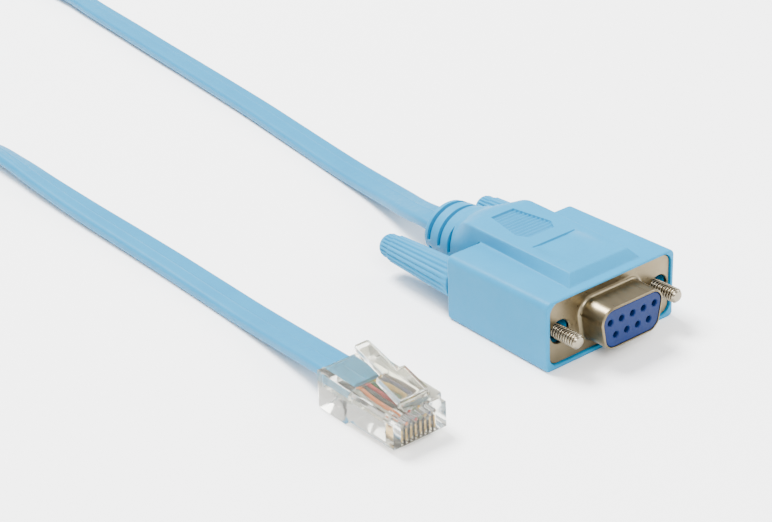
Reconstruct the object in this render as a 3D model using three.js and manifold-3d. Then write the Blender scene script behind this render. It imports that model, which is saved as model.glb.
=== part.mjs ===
// A flat eight-core console cable. One end is a nine-way socket connector in a moulded hood with two
// thumbscrews, the other a clear eight-way modular plug with a sprung latch.
// Millimetres, +Z up. -Y is the way both connectors mate, and X runs across them.
import * as THREE from 'three';
import { mergeVertices } from 'three/addons/utils/BufferGeometryUtils.js';
import Module from 'manifold-3d';

const wasm = await Module();
wasm.setup();

// Running gap between pieces that meet, and the finer one round a piece that is moulded in
const GAP = 0.3;
const SEAT_GAP = 0.1;

// The nine-way connector: its flange, with a lug outside each screw, and its D-shaped shell
const SCREW_SPACING = 24.99;
const FLANGE = { lug: 2.705, height: 12.6, corner: 2.0, thickness: 0.8, hole: 4.6 };
const SHELL = { width: 16.33, height: 7.9, corner: 2.6, slope: 10, wall: 0.45, length: 5.9 };
const INSULATOR = { depth: 9.0 };
const CONTACT = { pitch: 2.77, row: 2.84, mouth: 1.3, lip: 0.8, outer: 1.5, bore: 1.02, length: 7.4 };

// The hood: its walls round the flange, the hump on its box and the neck with the slotted strain relief
const HOOD = { side: 0.9, floor: 1.0, roof: 0.55, rear_drop: 0.7, length: 27.1, rim: 0.45, corner: 0.8 };
const HUMP = { height: 1.95, front: 1.4, slope: 1.7, foot: 9.0, top: 7.3, rear: 7.8, edge: 0.7 };
const LABEL = { width: 10.6, front: 6.4, length: 8.6, depth: 0.3 };
const RELIEF = { end: 45.6, width: 12.6, height: 11.4 };
const SLOT = { width: 0.85, depth: 1.5, pitch: 3.4, web: 20, sides: 12 };
const WALL_BEHIND_INSULATOR = 1.0;

// The thumbscrews. They are loose in their holes: they lie a little low and hang down to the rear.
const SCREW = { diameter: 2.84, tip: 5.05, chamfer: 0.5, sides: 16, into_grip: 14, drop: 0.25, droop: 1.0 };
const GRIP = { front: 7.2, rear: 5.7, body: 19.1, tip: 3.2, tip_diameter: 5.0, end_diameter: 3.4, sides: 20 };

// The clear plug, from its nose to its rear
const PLUG = {
  x: -47.5, nose_y: -2.9, width: 11.68, length: 21.15, front_length: 13.5,
  underside: 1.14, front_top: 7.46, rear_top: 7.7, wall: 1.2,
};
const JACKET_END = 14.0;
const CORE = { pitch: 1.02, diameter: 0.72, axis_z: 4.95, front_wall: 0.7, sides: 8 };
const BLADE = { thickness: 0.35, front: 0.9, length: 2.9, bottom: 1.6, top: 4.2, slot_gap: 0.15 };
const LATCH = {
  lever: 3.25, shoulders: 6.2, hinge_y: 1.9, hinge_z: 7.9, rise: 18.5,
  shoulder_length: 6.4, length: 14.8, root: 1.7, tip: 0.8,
};

// The flat cable
const CABLE = { width: 6.9, thickness: 2.4, axis_z: 1.2 };
const COIL = { x: -66, y: 226, inner: 30, outer: 46, height: 7.1, sides: 64 };

// What follows from these sizes: the connector's axis over the floor, and the flange's and the box's outsides
const AXIS_Z = HOOD.floor + FLANGE.height / 2;
const flangeWidth = SCREW_SPACING + 2 * FLANGE.lug;
const hoodWidth = flangeWidth + 2 * HOOD.side;
const hoodTop = HOOD.floor + FLANGE.height + HOOD.roof;
const hoodRearTop = hoodTop - HOOD.rear_drop;

const COLOURS = {
  pvc: 0x83c6e2, insulator: 0x2f62ad, plate: 0xb9b3a4, nickel: 0xc4c1b8, contact: 0xd0a94c,
  clear: 0xd8dad2,
  cores: [0xb9bcbb, 0xe08a3c, 0x2b2b2b, 0xd8383e, 0x2f8f4a, 0xe3c94a, 0x2d3f86, 0x6b4a38],
};

const root = new THREE.Group();

// Solids from closed meshes, and back again

/** A solid for cutting and joining, from a closed geometry. */
function solidFrom(geometry) {
  const bare = geometry.clone();
  bare.deleteAttribute('normal');
  bare.deleteAttribute('uv');
  const merged = mergeVertices(bare, 1e-5);
  return new wasm.Manifold(new wasm.Mesh({
    numProp: 3,
    vertProperties: new Float32Array(merged.attributes.position.array),
    triVerts: new Uint32Array(merged.index.array),
  }));
}

/** A geometry with flat faces, from a solid. */
function geometryFrom(solid) {
  const mesh = solid.getMesh();
  const geometry = new THREE.BufferGeometry();
  geometry.setAttribute('position', new THREE.BufferAttribute(mesh.vertProperties, mesh.numProp));
  geometry.setIndex(new THREE.BufferAttribute(mesh.triVerts, 1));
  const flat = geometry.toNonIndexed();
  flat.computeVertexNormals();
  return flat;
}

/** Adds a named piece to the model. */
function addPiece(name, shape, colour, roughness = 0.5, metalness = 0, parent = root) {
  const geometry = shape.isBufferGeometry ? shape : geometryFrom(shape);
  const transparent = colour === COLOURS.clear;
  const material = new THREE.MeshStandardMaterial({ color: colour, roughness, metalness });
  material.transparent = transparent;
  material.opacity = transparent ? 0.4 : 1;
  const mesh = new THREE.Mesh(geometry, material);
  mesh.name = name;
  parent.add(mesh);
  return mesh;
}

// Basic shapes

/** An outline in X and Z, carried along Y from y0 to y1. */
function alongY(shape, y0, y1, curveSegments = 6) {
  const geometry = new THREE.ExtrudeGeometry(shape, { depth: y1 - y0, bevelEnabled: false, curveSegments });
  return geometry.rotateX(Math.PI / 2).translate(0, y1, 0);
}

/** An outline in Y and Z, carried along X from x0 to x1. */
function alongX(shape, x0, x1, curveSegments = 6) {
  const geometry = new THREE.ExtrudeGeometry(shape, { depth: x1 - x0, bevelEnabled: false, curveSegments });
  return geometry.rotateX(Math.PI / 2).rotateZ(Math.PI / 2).translate(x0, 0, 0);
}

/** A block between two corners. */
function block(x0, x1, y0, y1, z0, z1) {
  const geometry = new THREE.BoxGeometry(x1 - x0, y1 - y0, z1 - z0);
  return geometry.translate((x0 + x1) / 2, (y0 + y1) / 2, (z0 + z1) / 2);
}

/** A turned shape about an axis along Y. The profile's pairs are radius and Y. */
function turnedY(profile, x, z, sides) {
  const points = profile.map(([radius, y]) => new THREE.Vector2(radius, y));
  return new THREE.LatheGeometry(points, sides).translate(x, 0, z);
}

/** A rod or a bore along Y. */
function rodY(diameter, y0, y1, x, z, sides) {
  return turnedY([[0, y0], [diameter / 2, y0], [diameter / 2, y1], [0, y1]], x, z, sides);
}

/** A rectangle with round corners, centred on (0, z). */
function roundedRectangle(width, height, corner, z) {
  const w = width / 2;
  const h = height / 2;
  const shape = new THREE.Shape();
  shape.moveTo(-w + corner, z - h);
  shape.lineTo(w - corner, z - h);
  shape.absarc(w - corner, z - h + corner, corner, -Math.PI / 2, 0);
  shape.lineTo(w, z + h - corner);
  shape.absarc(w - corner, z + h - corner, corner, 0, Math.PI / 2);
  shape.lineTo(-w + corner, z + h);
  shape.absarc(-w + corner, z + h - corner, corner, Math.PI / 2, Math.PI);
  shape.lineTo(-w, z - h + corner);
  shape.absarc(-w + corner, z - h + corner, corner, Math.PI, 1.5 * Math.PI);
  return shape;
}

/** The D outline: wide at the top, with sides that slope in to the bottom. inset draws it in all round. */
function dShape(inset) {
  const slope = THREE.MathUtils.degToRad(SHELL.slope);
  const h = SHELL.height / 2 - inset;
  const r = SHELL.corner - inset;
  const cy = h - r;
  const topX = SHELL.width / 2 - SHELL.corner;
  const lowX = topX - 2 * (SHELL.height / 2 - SHELL.corner) * Math.tan(slope);
  const shape = new THREE.Shape();
  shape.moveTo(-lowX, AXIS_Z - h);
  shape.lineTo(lowX, AXIS_Z - h);
  shape.absarc(lowX, AXIS_Z - cy, r, -Math.PI / 2, -slope);
  shape.absarc(topX, AXIS_Z + cy, r, -slope, Math.PI / 2);
  shape.lineTo(-topX, AXIS_Z + h);
  shape.absarc(-topX, AXIS_Z + cy, r, Math.PI / 2, Math.PI + slope);
  shape.absarc(-lowX, AXIS_Z - cy, r, Math.PI + slope, 1.5 * Math.PI);
  return shape;
}

/** A closed solid through sections with equal numbers of points, ordered anticlockwise seen from -Y. */
function loft(sections) {
  const count = sections[0].length;
  const positions = sections.flat(2);
  const index = [];
  for (let s = 0; s + 1 < sections.length; s += 1) {
    for (let i = 0; i < count; i += 1) {
      const a = s * count + i;
      const b = s * count + ((i + 1) % count);
      index.push(a, a + count, b, b, a + count, b + count);
    }
  }
  const last = (sections.length - 1) * count;
  for (let i = 1; i + 1 < count; i += 1) {
    index.push(0, i, i + 1);
    index.push(last, last + i + 1, last + i);
  }
  const geometry = new THREE.BufferGeometry();
  geometry.setAttribute('position', new THREE.Float32BufferAttribute(positions, 3));
  geometry.setIndex(index);
  return geometry;
}

// The hood

const screwX = SCREW_SPACING / 2;
const flangeBack = FLANGE.thickness;
const humpTop = hoodTop + HUMP.height;

/** A superellipse section of the neck at y. A high power makes it squarer. */
function neckSection(y, halfWidth, bottom, top, power) {
  const centre = (bottom + top) / 2;
  const halfHeight = (top - bottom) / 2;
  const points = [];
  for (let i = 0; i < 28; i += 1) {
    const angle = (2 * Math.PI * (i + 0.5)) / 28;
    const c = Math.cos(angle);
    const s = Math.sin(angle);
    const x = halfWidth * Math.sign(c) * Math.abs(c) ** (2 / power);
    const z = centre + halfHeight * Math.sign(s) * Math.abs(s) ** (2 / power);
    points.push([x, y, z]);
  }
  return points;
}

/** The neck and strain relief, from inside the box to the end that the cable leaves. */
function neck() {
  const { end, width, height } = RELIEF;
  const low = AXIS_Z - height / 2;
  const high = AXIS_Z + height / 2;
  const blend = (end - HOOD.length) / 9;
  return loft([
    neckSection(HOOD.length - 2, HUMP.rear, 1.0, humpTop, 9),
    neckSection(HOOD.length + 1.5 * blend, HUMP.rear, 0.9, humpTop - 0.35, 6),
    neckSection(HOOD.length + 3 * blend, width / 2 + 1.2, 0.8, humpTop - 1.1, 3.6),
    neckSection(HOOD.length + 4.2 * blend, width / 2 + 0.8, low - 0.6, high + 1.0, 2.6),
    neckSection(HOOD.length + 5.5 * blend, width / 2 + 0.6, low - 0.5, high + 0.5, 2.2),
    neckSection(HOOD.length + 7.5 * blend, width / 2 + 0.2, low - 0.2, high + 0.2, 2.1),
    neckSection(end - 0.8, width / 2, low, high, 2.1),
    neckSection(end, width / 2 - 0.7, low + 0.7, high - 0.7, 2.1),
  ]);
}

/** The hump on the box's top, with a sloped front and sides that stand up towards the rear. */
function hump() {
  const base = hoodRearTop - 1;
  const section = (y, foot, top, z) => [
    [-foot, y, base], [foot, y, base], [foot, y, hoodTop - 0.02], [top, y, z - HUMP.edge * (z - hoodTop) / 2],
    [top - HUMP.edge, y, z], [-top + HUMP.edge, y, z], [-top, y, z - HUMP.edge * (z - hoodTop) / 2],
    [-foot, y, hoodTop - 0.02],
  ];
  return loft([
    section(HUMP.front, HUMP.foot, HUMP.foot - 0.2, hoodTop),
    section(HUMP.front + HUMP.slope, HUMP.foot, HUMP.top, humpTop),
    section(HUMP.front + (HOOD.length - HUMP.front) * 0.7, HUMP.foot - 0.8, HUMP.rear, humpTop),
    section(HOOD.length - 0.4, HUMP.rear, HUMP.rear, humpTop),
  ]);
}

/** A ring sector round the strain relief, for cutting one slot. Angles in degrees from +X. */
function slotCutter(y, from, to) {
  const outer = RELIEF.width;
  const a = RELIEF.width / 2 - SLOT.depth;
  const b = RELIEF.height / 2 - SLOT.depth;
  const inside = [];
  const outside = [];
  for (let i = 0; i <= SLOT.sides; i += 1) {
    const angle = THREE.MathUtils.degToRad(from + ((to - from) * i) / SLOT.sides);
    inside.push(new THREE.Vector2(a * Math.cos(angle), AXIS_Z + b * Math.sin(angle)));
    outside.push(new THREE.Vector2(outer * Math.cos(angle), AXIS_Z + outer * Math.sin(angle)));
  }
  const shape = new THREE.Shape([...outside, ...inside.reverse()]);
  return alongY(shape, y - SLOT.width / 2, y + SLOT.width / 2);
}

/** The slots: two rings of an upper and a lower slot, and a third that only opens at the sides. */
function slotCutters() {
  const cutters = [];
  for (let ring = 0; ring < 3; ring += 1) {
    const y = RELIEF.end - 1.7 - ring * SLOT.pitch;
    if (ring < 2) {
      cutters.push(slotCutter(y, 0, 180));
      cutters.push(slotCutter(y, 180 + SLOT.web, 360 - SLOT.web));
    } else {
      cutters.push(slotCutter(y, 0, 50));
      cutters.push(slotCutter(y, 130, 180));
    }
  }
  return cutters;
}

/** The whole hood, cut for the connector, the screws, the label and the slots. */
function hood() {
  const boxSection = (y, height) => {
    const outline = roundedRectangle(hoodWidth, height, HOOD.corner, height / 2);
    return outline.extractPoints(3).shape.slice(0, -1).map(({ x, y: z }) => [x, y, z]);
  };
  const box = loft([boxSection(-HOOD.rim, hoodTop), boxSection(HOOD.length, hoodRearTop)]);
  let body = solidFrom(box);
  body = body.add(solidFrom(hump())).add(solidFrom(neck()));
  const seat = roundedRectangle(
    flangeWidth + 2 * SEAT_GAP, FLANGE.height + 2 * SEAT_GAP, FLANGE.corner + SEAT_GAP, AXIS_Z,
  );
  body = body.subtract(solidFrom(alongY(seat, -HOOD.rim - 1, flangeBack)));
  const pocketEnd = INSULATOR.depth - SHELL.length + WALL_BEHIND_INSULATOR;
  body = body.subtract(solidFrom(alongY(dShape(0), 0, flangeBack + pocketEnd)));
  for (const x of [-screwX, screwX]) {
    const channel = rodY(FLANGE.hole, -1, HOOD.length + 1, x, AXIS_Z, SCREW.sides);
    body = body.subtract(solidFrom(channel));
  }
  const label = block(
    -LABEL.width / 2, LABEL.width / 2, LABEL.front, LABEL.front + LABEL.length, humpTop - LABEL.depth, humpTop + 1,
  );
  body = body.subtract(solidFrom(label));
  for (const cutter of slotCutters()) {
    body = body.subtract(solidFrom(cutter));
  }
  return body;
}

// The nine-way connector

/** The flange and the D-shaped shell in front of it, one pressing, open right through. */
function shell() {
  const plate = roundedRectangle(flangeWidth, FLANGE.height, FLANGE.corner, AXIS_Z);
  let body = solidFrom(alongY(plate, 0, flangeBack));
  body = body.add(solidFrom(alongY(dShape(0), -SHELL.length, flangeBack / 2)));
  body = body.subtract(solidFrom(alongY(dShape(SHELL.wall), -SHELL.length - 1, flangeBack + 1)));
  for (const x of [-screwX, screwX]) {
    body = body.subtract(solidFrom(rodY(FLANGE.hole, -1, flangeBack + 1, x, AXIS_Z, 24)));
  }
  return body;
}

/** The centres of the nine contacts: five above, four below. */
function contactPlaces() {
  const places = [];
  for (let i = 0; i < 5; i += 1) {
    places.push([(i - 2) * CONTACT.pitch, AXIS_Z + CONTACT.row / 2]);
  }
  for (let i = 0; i < 4; i += 1) {
    places.push([(i - 1.5) * CONTACT.pitch, AXIS_Z - CONTACT.row / 2]);
  }
  return places;
}

const insulatorFront = -SHELL.length;

/** The insulator, with a stepped bore for each contact. */
function insulator() {
  const back = insulatorFront + INSULATOR.depth;
  let body = solidFrom(alongY(dShape(SHELL.wall + SEAT_GAP), insulatorFront, back));
  for (const [x, z] of contactPlaces()) {
    const wide = CONTACT.outer / 2 + GAP;
    const bore = turnedY([
      [0, insulatorFront - 1], [CONTACT.mouth / 2, insulatorFront - 1],
      [CONTACT.mouth / 2, insulatorFront + CONTACT.lip], [wide, insulatorFront + CONTACT.lip],
      [wide, back + 1], [0, back + 1],
    ], x, z, 12);
    body = body.subtract(solidFrom(bore));
  }
  return body;
}

/** One socket contact: a tube with its mouth behind the insulator's front. */
function socketContact(x, z) {
  const front = insulatorFront + CONTACT.lip + SEAT_GAP;
  const back = front + CONTACT.length;
  const inner = CONTACT.bore / 2;
  const outer = CONTACT.outer / 2;
  const floor = front + CONTACT.length * 0.8;
  return turnedY([
    [0, floor], [inner, floor], [inner, front], [outer, front], [outer, back], [0, back],
  ], x, z, 10);
}

// The thumbscrews

const gripFront = HOOD.length + GAP;

/** A jackscrew with a chamfered tip in front and a plain end inside its grip. */
function jackscrew() {
  const r = SCREW.diameter / 2;
  const end = gripFront + SCREW.into_grip;
  return turnedY([
    [0, -SCREW.tip], [r - SCREW.chamfer, -SCREW.tip], [r, -SCREW.tip + SCREW.chamfer], [r, end], [0, end],
  ], 0, 0, SCREW.sides);
}

/** The grip: a tapered barrel, a small step and a round tip, with a blind bore for the screw. */
function thumbGrip() {
  const step = gripFront + GRIP.body;
  const end = step + GRIP.tip;
  const bore = SCREW.diameter / 2 + GAP;
  const floor = gripFront + SCREW.into_grip + GAP;
  return turnedY([
    [0, floor], [bore, floor], [bore, gripFront], [GRIP.front / 2 - 0.3, gripFront],
    [GRIP.front / 2, gripFront + 0.3], [GRIP.rear / 2, step - 0.3], [GRIP.rear / 2 - 0.3, step],
    [GRIP.tip_diameter / 2, step], [GRIP.tip_diameter / 2, end - 1.2],
    [(GRIP.tip_diameter + GRIP.end_diameter) / 4 + 0.2, end - 0.4], [GRIP.end_diameter / 2, end], [0, end],
  ], 0, 0, GRIP.sides);
}

// The modular plug, in its own coordinates: x from its middle, y from its nose

const corePlaces = Array.from({ length: 8 }, (_, i) => (i - 3.5) * CORE.pitch);
const bladeEnd = BLADE.front + BLADE.length;

/** The clear body, open at the rear for the jacket and below for the blades. */
function plugHousing() {
  const { width, length, front_length: step, underside, front_top: low, rear_top: high, wall } = PLUG;
  const side = new THREE.Shape([
    new THREE.Vector2(0, underside), new THREE.Vector2(step - 1, underside), new THREE.Vector2(step, 0),
    new THREE.Vector2(length, 0), new THREE.Vector2(length, high), new THREE.Vector2(0, low),
  ]);
  let body = solidFrom(alongX(side, -width / 2, width / 2));
  const mouth = CABLE.width / 2 + GAP;
  const half = CABLE.thickness / 2 + GAP;
  const z = CORE.axis_z;
  body = body.subtract(solidFrom(block(-mouth, mouth, JACKET_END - 1, length + 1, z - half, z + half)));
  const comb = 4 * CORE.pitch;
  const room = CORE.diameter / 2 + GAP;
  body = body.subtract(solidFrom(block(-comb, comb, CORE.front_wall, JACKET_END, z - room, z + room)));
  for (const x of corePlaces) {
    const t = BLADE.thickness / 2 + BLADE.slot_gap;
    const slotFront = BLADE.front - BLADE.slot_gap;
    const slotEnd = bladeEnd + BLADE.slot_gap;
    const slot = block(x - t, x + t, slotFront, slotEnd, underside - 1, z - room + 0.01);
    body = body.subtract(solidFrom(slot));
  }
  const notch = width / 2 - 1.0;
  for (const [x0, x1] of [[-width, -notch], [notch, width]]) {
    body = body.subtract(solidFrom(block(x0, x1, -1, wall, low - 1.2, high + 1)));
  }
  return body;
}

/** The latch: shoulders at its root and a thinner lever that rises to its free end. */
function plugLatch() {
  const angle = THREE.MathUtils.degToRad(LATCH.rise);
  const along = (distance, lift) => new THREE.Vector2(
    LATCH.hinge_y + distance * Math.cos(angle) - lift * Math.sin(angle),
    LATCH.hinge_z + distance * Math.sin(angle) + lift * Math.cos(angle),
  );
  const thick = (distance) => LATCH.root + (LATCH.tip - LATCH.root) * (distance / LATCH.length);
  const lever = new THREE.Shape([
    along(0, 0), along(LATCH.length, 0), along(LATCH.length, LATCH.tip), along(0, LATCH.root),
  ]);
  const shoulder = new THREE.Shape([
    along(0, 0), along(LATCH.shoulder_length, 0), along(LATCH.shoulder_length, thick(LATCH.shoulder_length)),
    along(0, LATCH.root),
  ]);
  const wide = solidFrom(alongX(shoulder, -LATCH.shoulders / 2, LATCH.shoulders / 2));
  return wide.add(solidFrom(alongX(lever, -LATCH.lever / 2, LATCH.lever / 2)));
}

/** One gold blade below its core. */
function plugBlade(x) {
  const t = BLADE.thickness / 2;
  return block(x - t, x + t, BLADE.front, bladeEnd, BLADE.bottom, BLADE.top);
}

/** One coloured core, from the jacket's end to behind the nose. */
function core(x) {
  const start = CORE.front_wall + GAP;
  return rodY(CORE.diameter, start, JACKET_END - GAP, x, CORE.axis_z, CORE.sides);
}

// The cable

/** The flat section: x is across the thin way, y along the width. */
function cableSection() {
  const t = CABLE.thickness / 2;
  const w = CABLE.width / 2;
  const c = t * 0.6;
  return new THREE.Shape([
    new THREE.Vector2(t, -w + c), new THREE.Vector2(t, w - c), new THREE.Vector2(t - c, w),
    new THREE.Vector2(-t + c, w), new THREE.Vector2(-t, w - c), new THREE.Vector2(-t, -w + c),
    new THREE.Vector2(-t + c, -w), new THREE.Vector2(t - c, -w),
  ]);
}

/** A run of cable through a list of points. */
function cableRun(points, steps) {
  const places = points.map(([x, y, z]) => new THREE.Vector3(x, y, z));
  const path = new THREE.CatmullRomCurve3(places, false, 'centripetal');
  return new THREE.ExtrudeGeometry(cableSection(), { steps, extrudePath: path, bevelEnabled: false });
}

const plugRear = PLUG.nose_y + PLUG.length;
const runStart = RELIEF.end + GAP;

// Each run starts with a very small lean in X, which keeps its flat section level
const LEAN = 0.02;
const low = CABLE.axis_z;
const hoodRun = [
  [-LEAN, runStart, AXIS_Z], [0, runStart + 2, AXIS_Z], [0.4, runStart + 5, 7.1], [1.9, 58, 5.7], [4.6, 67, 3.9],
  [6.8, 76, 2.5], [8.9, 89, 1.5], [10.6, 102, low], [12.2, 116, low], [13.9, 131, low], [15.3, 146, low],
  [16.7, 162, low], [18.2, 180, low], [19.8, 198, low], [21.2, 215, low], [22.4, 229, low], [21.8, 241, low],
  [16.2, 251.5, low], [6.2, 257.5, low], [-5, 255.5, low], [-13, 248, low], [-16.3, 237, low], [-16.3, 226, low],
];
const plugRun = [
  [PLUG.x - LEAN, PLUG.nose_y + JACKET_END, CORE.axis_z], [PLUG.x, plugRear, CORE.axis_z],
  [PLUG.x + LEAN, plugRear + 1.5, CORE.axis_z], [-47.1, 24, 4.5], [-46.2, 32, 3.4], [-45.2, 42, 2.2],
  [-44.5, 53, 1.4], [-44.2, 66, low], [-44.1, 80, low], [-44.2, 95, low], [-44.4, 112, low], [-44.3, 128, low],
  [-44.0, 143, low], [-44.6, 156, low], [-49.5, 168, low], [-58, 174.5, low], [-67, 176.2, low],
];

/** The unseen length, wound into one ring. */
function coil() {
  return new THREE.LatheGeometry([
    new THREE.Vector2(COIL.inner, 0), new THREE.Vector2(COIL.outer, 0), new THREE.Vector2(COIL.outer, COIL.height),
    new THREE.Vector2(COIL.inner, COIL.height), new THREE.Vector2(COIL.inner, 0),
  ], COIL.sides).rotateX(Math.PI / 2).translate(COIL.x, COIL.y, 0);
}

// Putting it together, with the origin under the middle of the hood's pieces

addPiece('db9_hood', hood(), COLOURS.pvc, 0.45);
addPiece('db9_shell', shell(), COLOURS.plate, 0.35, 0.9);
addPiece('db9_insulator', insulator(), COLOURS.insulator, 0.4);
contactPlaces().forEach(([x, z], i) => {
  addPiece(`contact_socket_${i + 1}`, socketContact(x, z), COLOURS.contact, 0.3, 1);
});
for (const [side, x] of [['left', -screwX], ['right', screwX]]) {
  const thumbscrew = new THREE.Group();
  thumbscrew.position.set(x, 0, AXIS_Z - SCREW.drop);
  thumbscrew.rotation.x = -THREE.MathUtils.degToRad(SCREW.droop);
  root.add(thumbscrew);
  addPiece(`jackscrew_${side}`, jackscrew(), COLOURS.nickel, 0.3, 1, thumbscrew);
  addPiece(`thumb_grip_${side}`, thumbGrip(), COLOURS.pvc, 0.45, 0, thumbscrew);
}
const plug = new THREE.Group();
plug.position.set(PLUG.x, PLUG.nose_y, 0);
root.add(plug);
addPiece('plug_housing', plugHousing(), COLOURS.clear, 0.15, 0, plug);
addPiece('plug_latch', plugLatch(), COLOURS.clear, 0.15, 0, plug);
corePlaces.forEach((x, i) => {
  addPiece(`plug_contact_${i + 1}`, plugBlade(x), COLOURS.contact, 0.3, 1, plug);
  addPiece(`wire_${i + 1}`, core(x), COLOURS.cores[i], 0.5, 0, plug);
});
addPiece('cable_run_db9', cableRun(hoodRun, 60), COLOURS.pvc, 0.45);
addPiece('cable_run_plug', cableRun(plugRun, 44), COLOURS.pvc, 0.45);
addPiece('cable_coil', coil(), COLOURS.pvc, 0.45);

const droopAngle = THREE.MathUtils.degToRad(SCREW.droop);
const gripLength = gripFront + GRIP.body + GRIP.tip;
const gripEnd = gripLength * Math.cos(droopAngle) + (GRIP.end_diameter / 2) * Math.sin(droopAngle);
root.position.y = (SHELL.length - gripEnd) / 2;

const model = new THREE.Group();
model.add(root);
export default model;
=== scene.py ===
"""The look of a flat eight-core console cable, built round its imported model.

One end is a nine-way socket connector in a soft blue moulded hood with two thumbscrews. The other end is
a clear eight-way plug with a sprung latch. Lengths are millimetres in the maker's coordinates: X runs
across the connectors, -Y is the way they mate, Z is up, and the flange's front face lies at Y 0.
"""

import logging
import math
from dataclasses import dataclass
from enum import Enum

import bmesh
import bpy
import numpy as np
from mathutils import Matrix, Vector
from mathutils.geometry import tessellate_polygon


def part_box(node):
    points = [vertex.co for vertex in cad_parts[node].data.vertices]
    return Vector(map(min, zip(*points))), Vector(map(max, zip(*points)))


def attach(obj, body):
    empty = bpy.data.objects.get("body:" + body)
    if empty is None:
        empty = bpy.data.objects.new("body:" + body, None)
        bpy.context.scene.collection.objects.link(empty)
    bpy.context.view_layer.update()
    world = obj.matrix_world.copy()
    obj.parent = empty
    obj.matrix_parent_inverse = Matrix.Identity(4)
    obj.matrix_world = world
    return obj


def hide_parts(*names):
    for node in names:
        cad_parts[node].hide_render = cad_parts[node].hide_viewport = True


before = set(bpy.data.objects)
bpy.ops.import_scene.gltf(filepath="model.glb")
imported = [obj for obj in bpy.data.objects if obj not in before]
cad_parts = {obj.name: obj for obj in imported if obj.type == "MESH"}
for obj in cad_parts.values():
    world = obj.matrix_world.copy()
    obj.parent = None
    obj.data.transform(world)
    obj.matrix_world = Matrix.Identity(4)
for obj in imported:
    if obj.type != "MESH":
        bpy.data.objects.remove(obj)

Array = np.ndarray
Colour = tuple[float, float, float]

log = logging.getLogger("console_cable")

MM = 0.001

# How far the shell stands out in front of the flange, in millimetres, and the flange's front in the frame
SHELL_REACH = 5.9
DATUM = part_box("db9_shell")[0].y + SHELL_REACH * MM
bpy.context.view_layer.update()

# The connector's axis above the floor, and its screws' distance from it
AXIS_Z = 7.3
SCREW_X = 12.495

# Degrees that an edge may turn by and still be shaded smooth
SMOOTH_UNDER = 34.0

# Metres: points closer than the first are joined, and edges shorter than the second are taken out
WELD = 2e-7
SPECK = 1e-7


class Body(Enum):
    """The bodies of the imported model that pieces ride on."""

    ROOT = "root"
    LEFT = "thumbscrew_left"
    RIGHT = "thumbscrew_right"
    LATCH = "latch"


class Turn(Enum):
    """The sides of the object that repeated pieces stand on."""

    LEFT = -1
    RIGHT = 1


def to_frame(points: Array) -> Array:
    """Turns millimetres from the flange's front face into metres in the frame."""
    return np.asarray(points, float) * MM + np.array([0.0, DATUM, 0.0])


# Surfaces


@dataclass
class Patch:
    """A part of a surface: its points in millimetres, and its faces by point number."""

    points: Array
    faces: list


def grid(points: Array, wrap: bool = True) -> Patch:
    """Quads over a grid of points.

    Args:
        points: Rows by columns by 3. Row r and column c give point r times columns plus c.
        wrap: Whether the last column joins the first.

    Returns:
        The patch.
    """
    rows, columns = points.shape[:2]
    number = np.arange(rows * columns).reshape(rows, columns)
    if wrap:
        number = np.concatenate([number, number[:, :1]], axis=1)
    quads = np.stack([number[:-1, :-1], number[1:, :-1], number[1:, 1:], number[:-1, 1:]], axis=-1)
    return Patch(points.reshape(-1, 3), quads.reshape(-1, 4).tolist())


def cap(loop: Array) -> Patch:
    """One flat face over a closed loop of points."""
    return Patch(loop, [tuple(range(len(loop)))])


def plate(outer: Array, holes: list[Array], y: float) -> Patch:
    """A flat sheet at one Y.

    Args:
        outer: Its outline, as X and Z pairs.
        holes: The outlines of its holes, as X and Z pairs.
        y: Its Y.

    Returns:
        The patch, in triangles.
    """
    loops = [outer, *holes]
    flat = np.concatenate(loops)
    points = np.stack([flat[:, 0], np.full(len(flat), y), flat[:, 1]], axis=1)
    triangles = tessellate_polygon([[Vector((a, b, 0.0)) for a, b in loop] for loop in loops])
    return Patch(points, [tuple(t) for t in triangles])


def lathe(profile: Array, sides: int, x: float = 0.0, z: float = 0.0) -> Patch:
    """A turned surface about an axis along Y.

    Args:
        profile: Radius and Y pairs. The point at angle a is (r cos a, y, r sin a).
        sides: Steps round the axis.
        x: The axis's X.
        z: The axis's Z.

    Returns:
        The patch.
    """
    angle = np.linspace(0, 2 * math.pi, sides, endpoint=False)
    r, y = np.asarray(profile, float).T
    points = np.stack([
        x + r[:, None] * np.cos(angle), np.repeat(y[:, None], sides, axis=1), z + r[:, None] * np.sin(angle),
    ], axis=-1)
    return grid(points)


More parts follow.
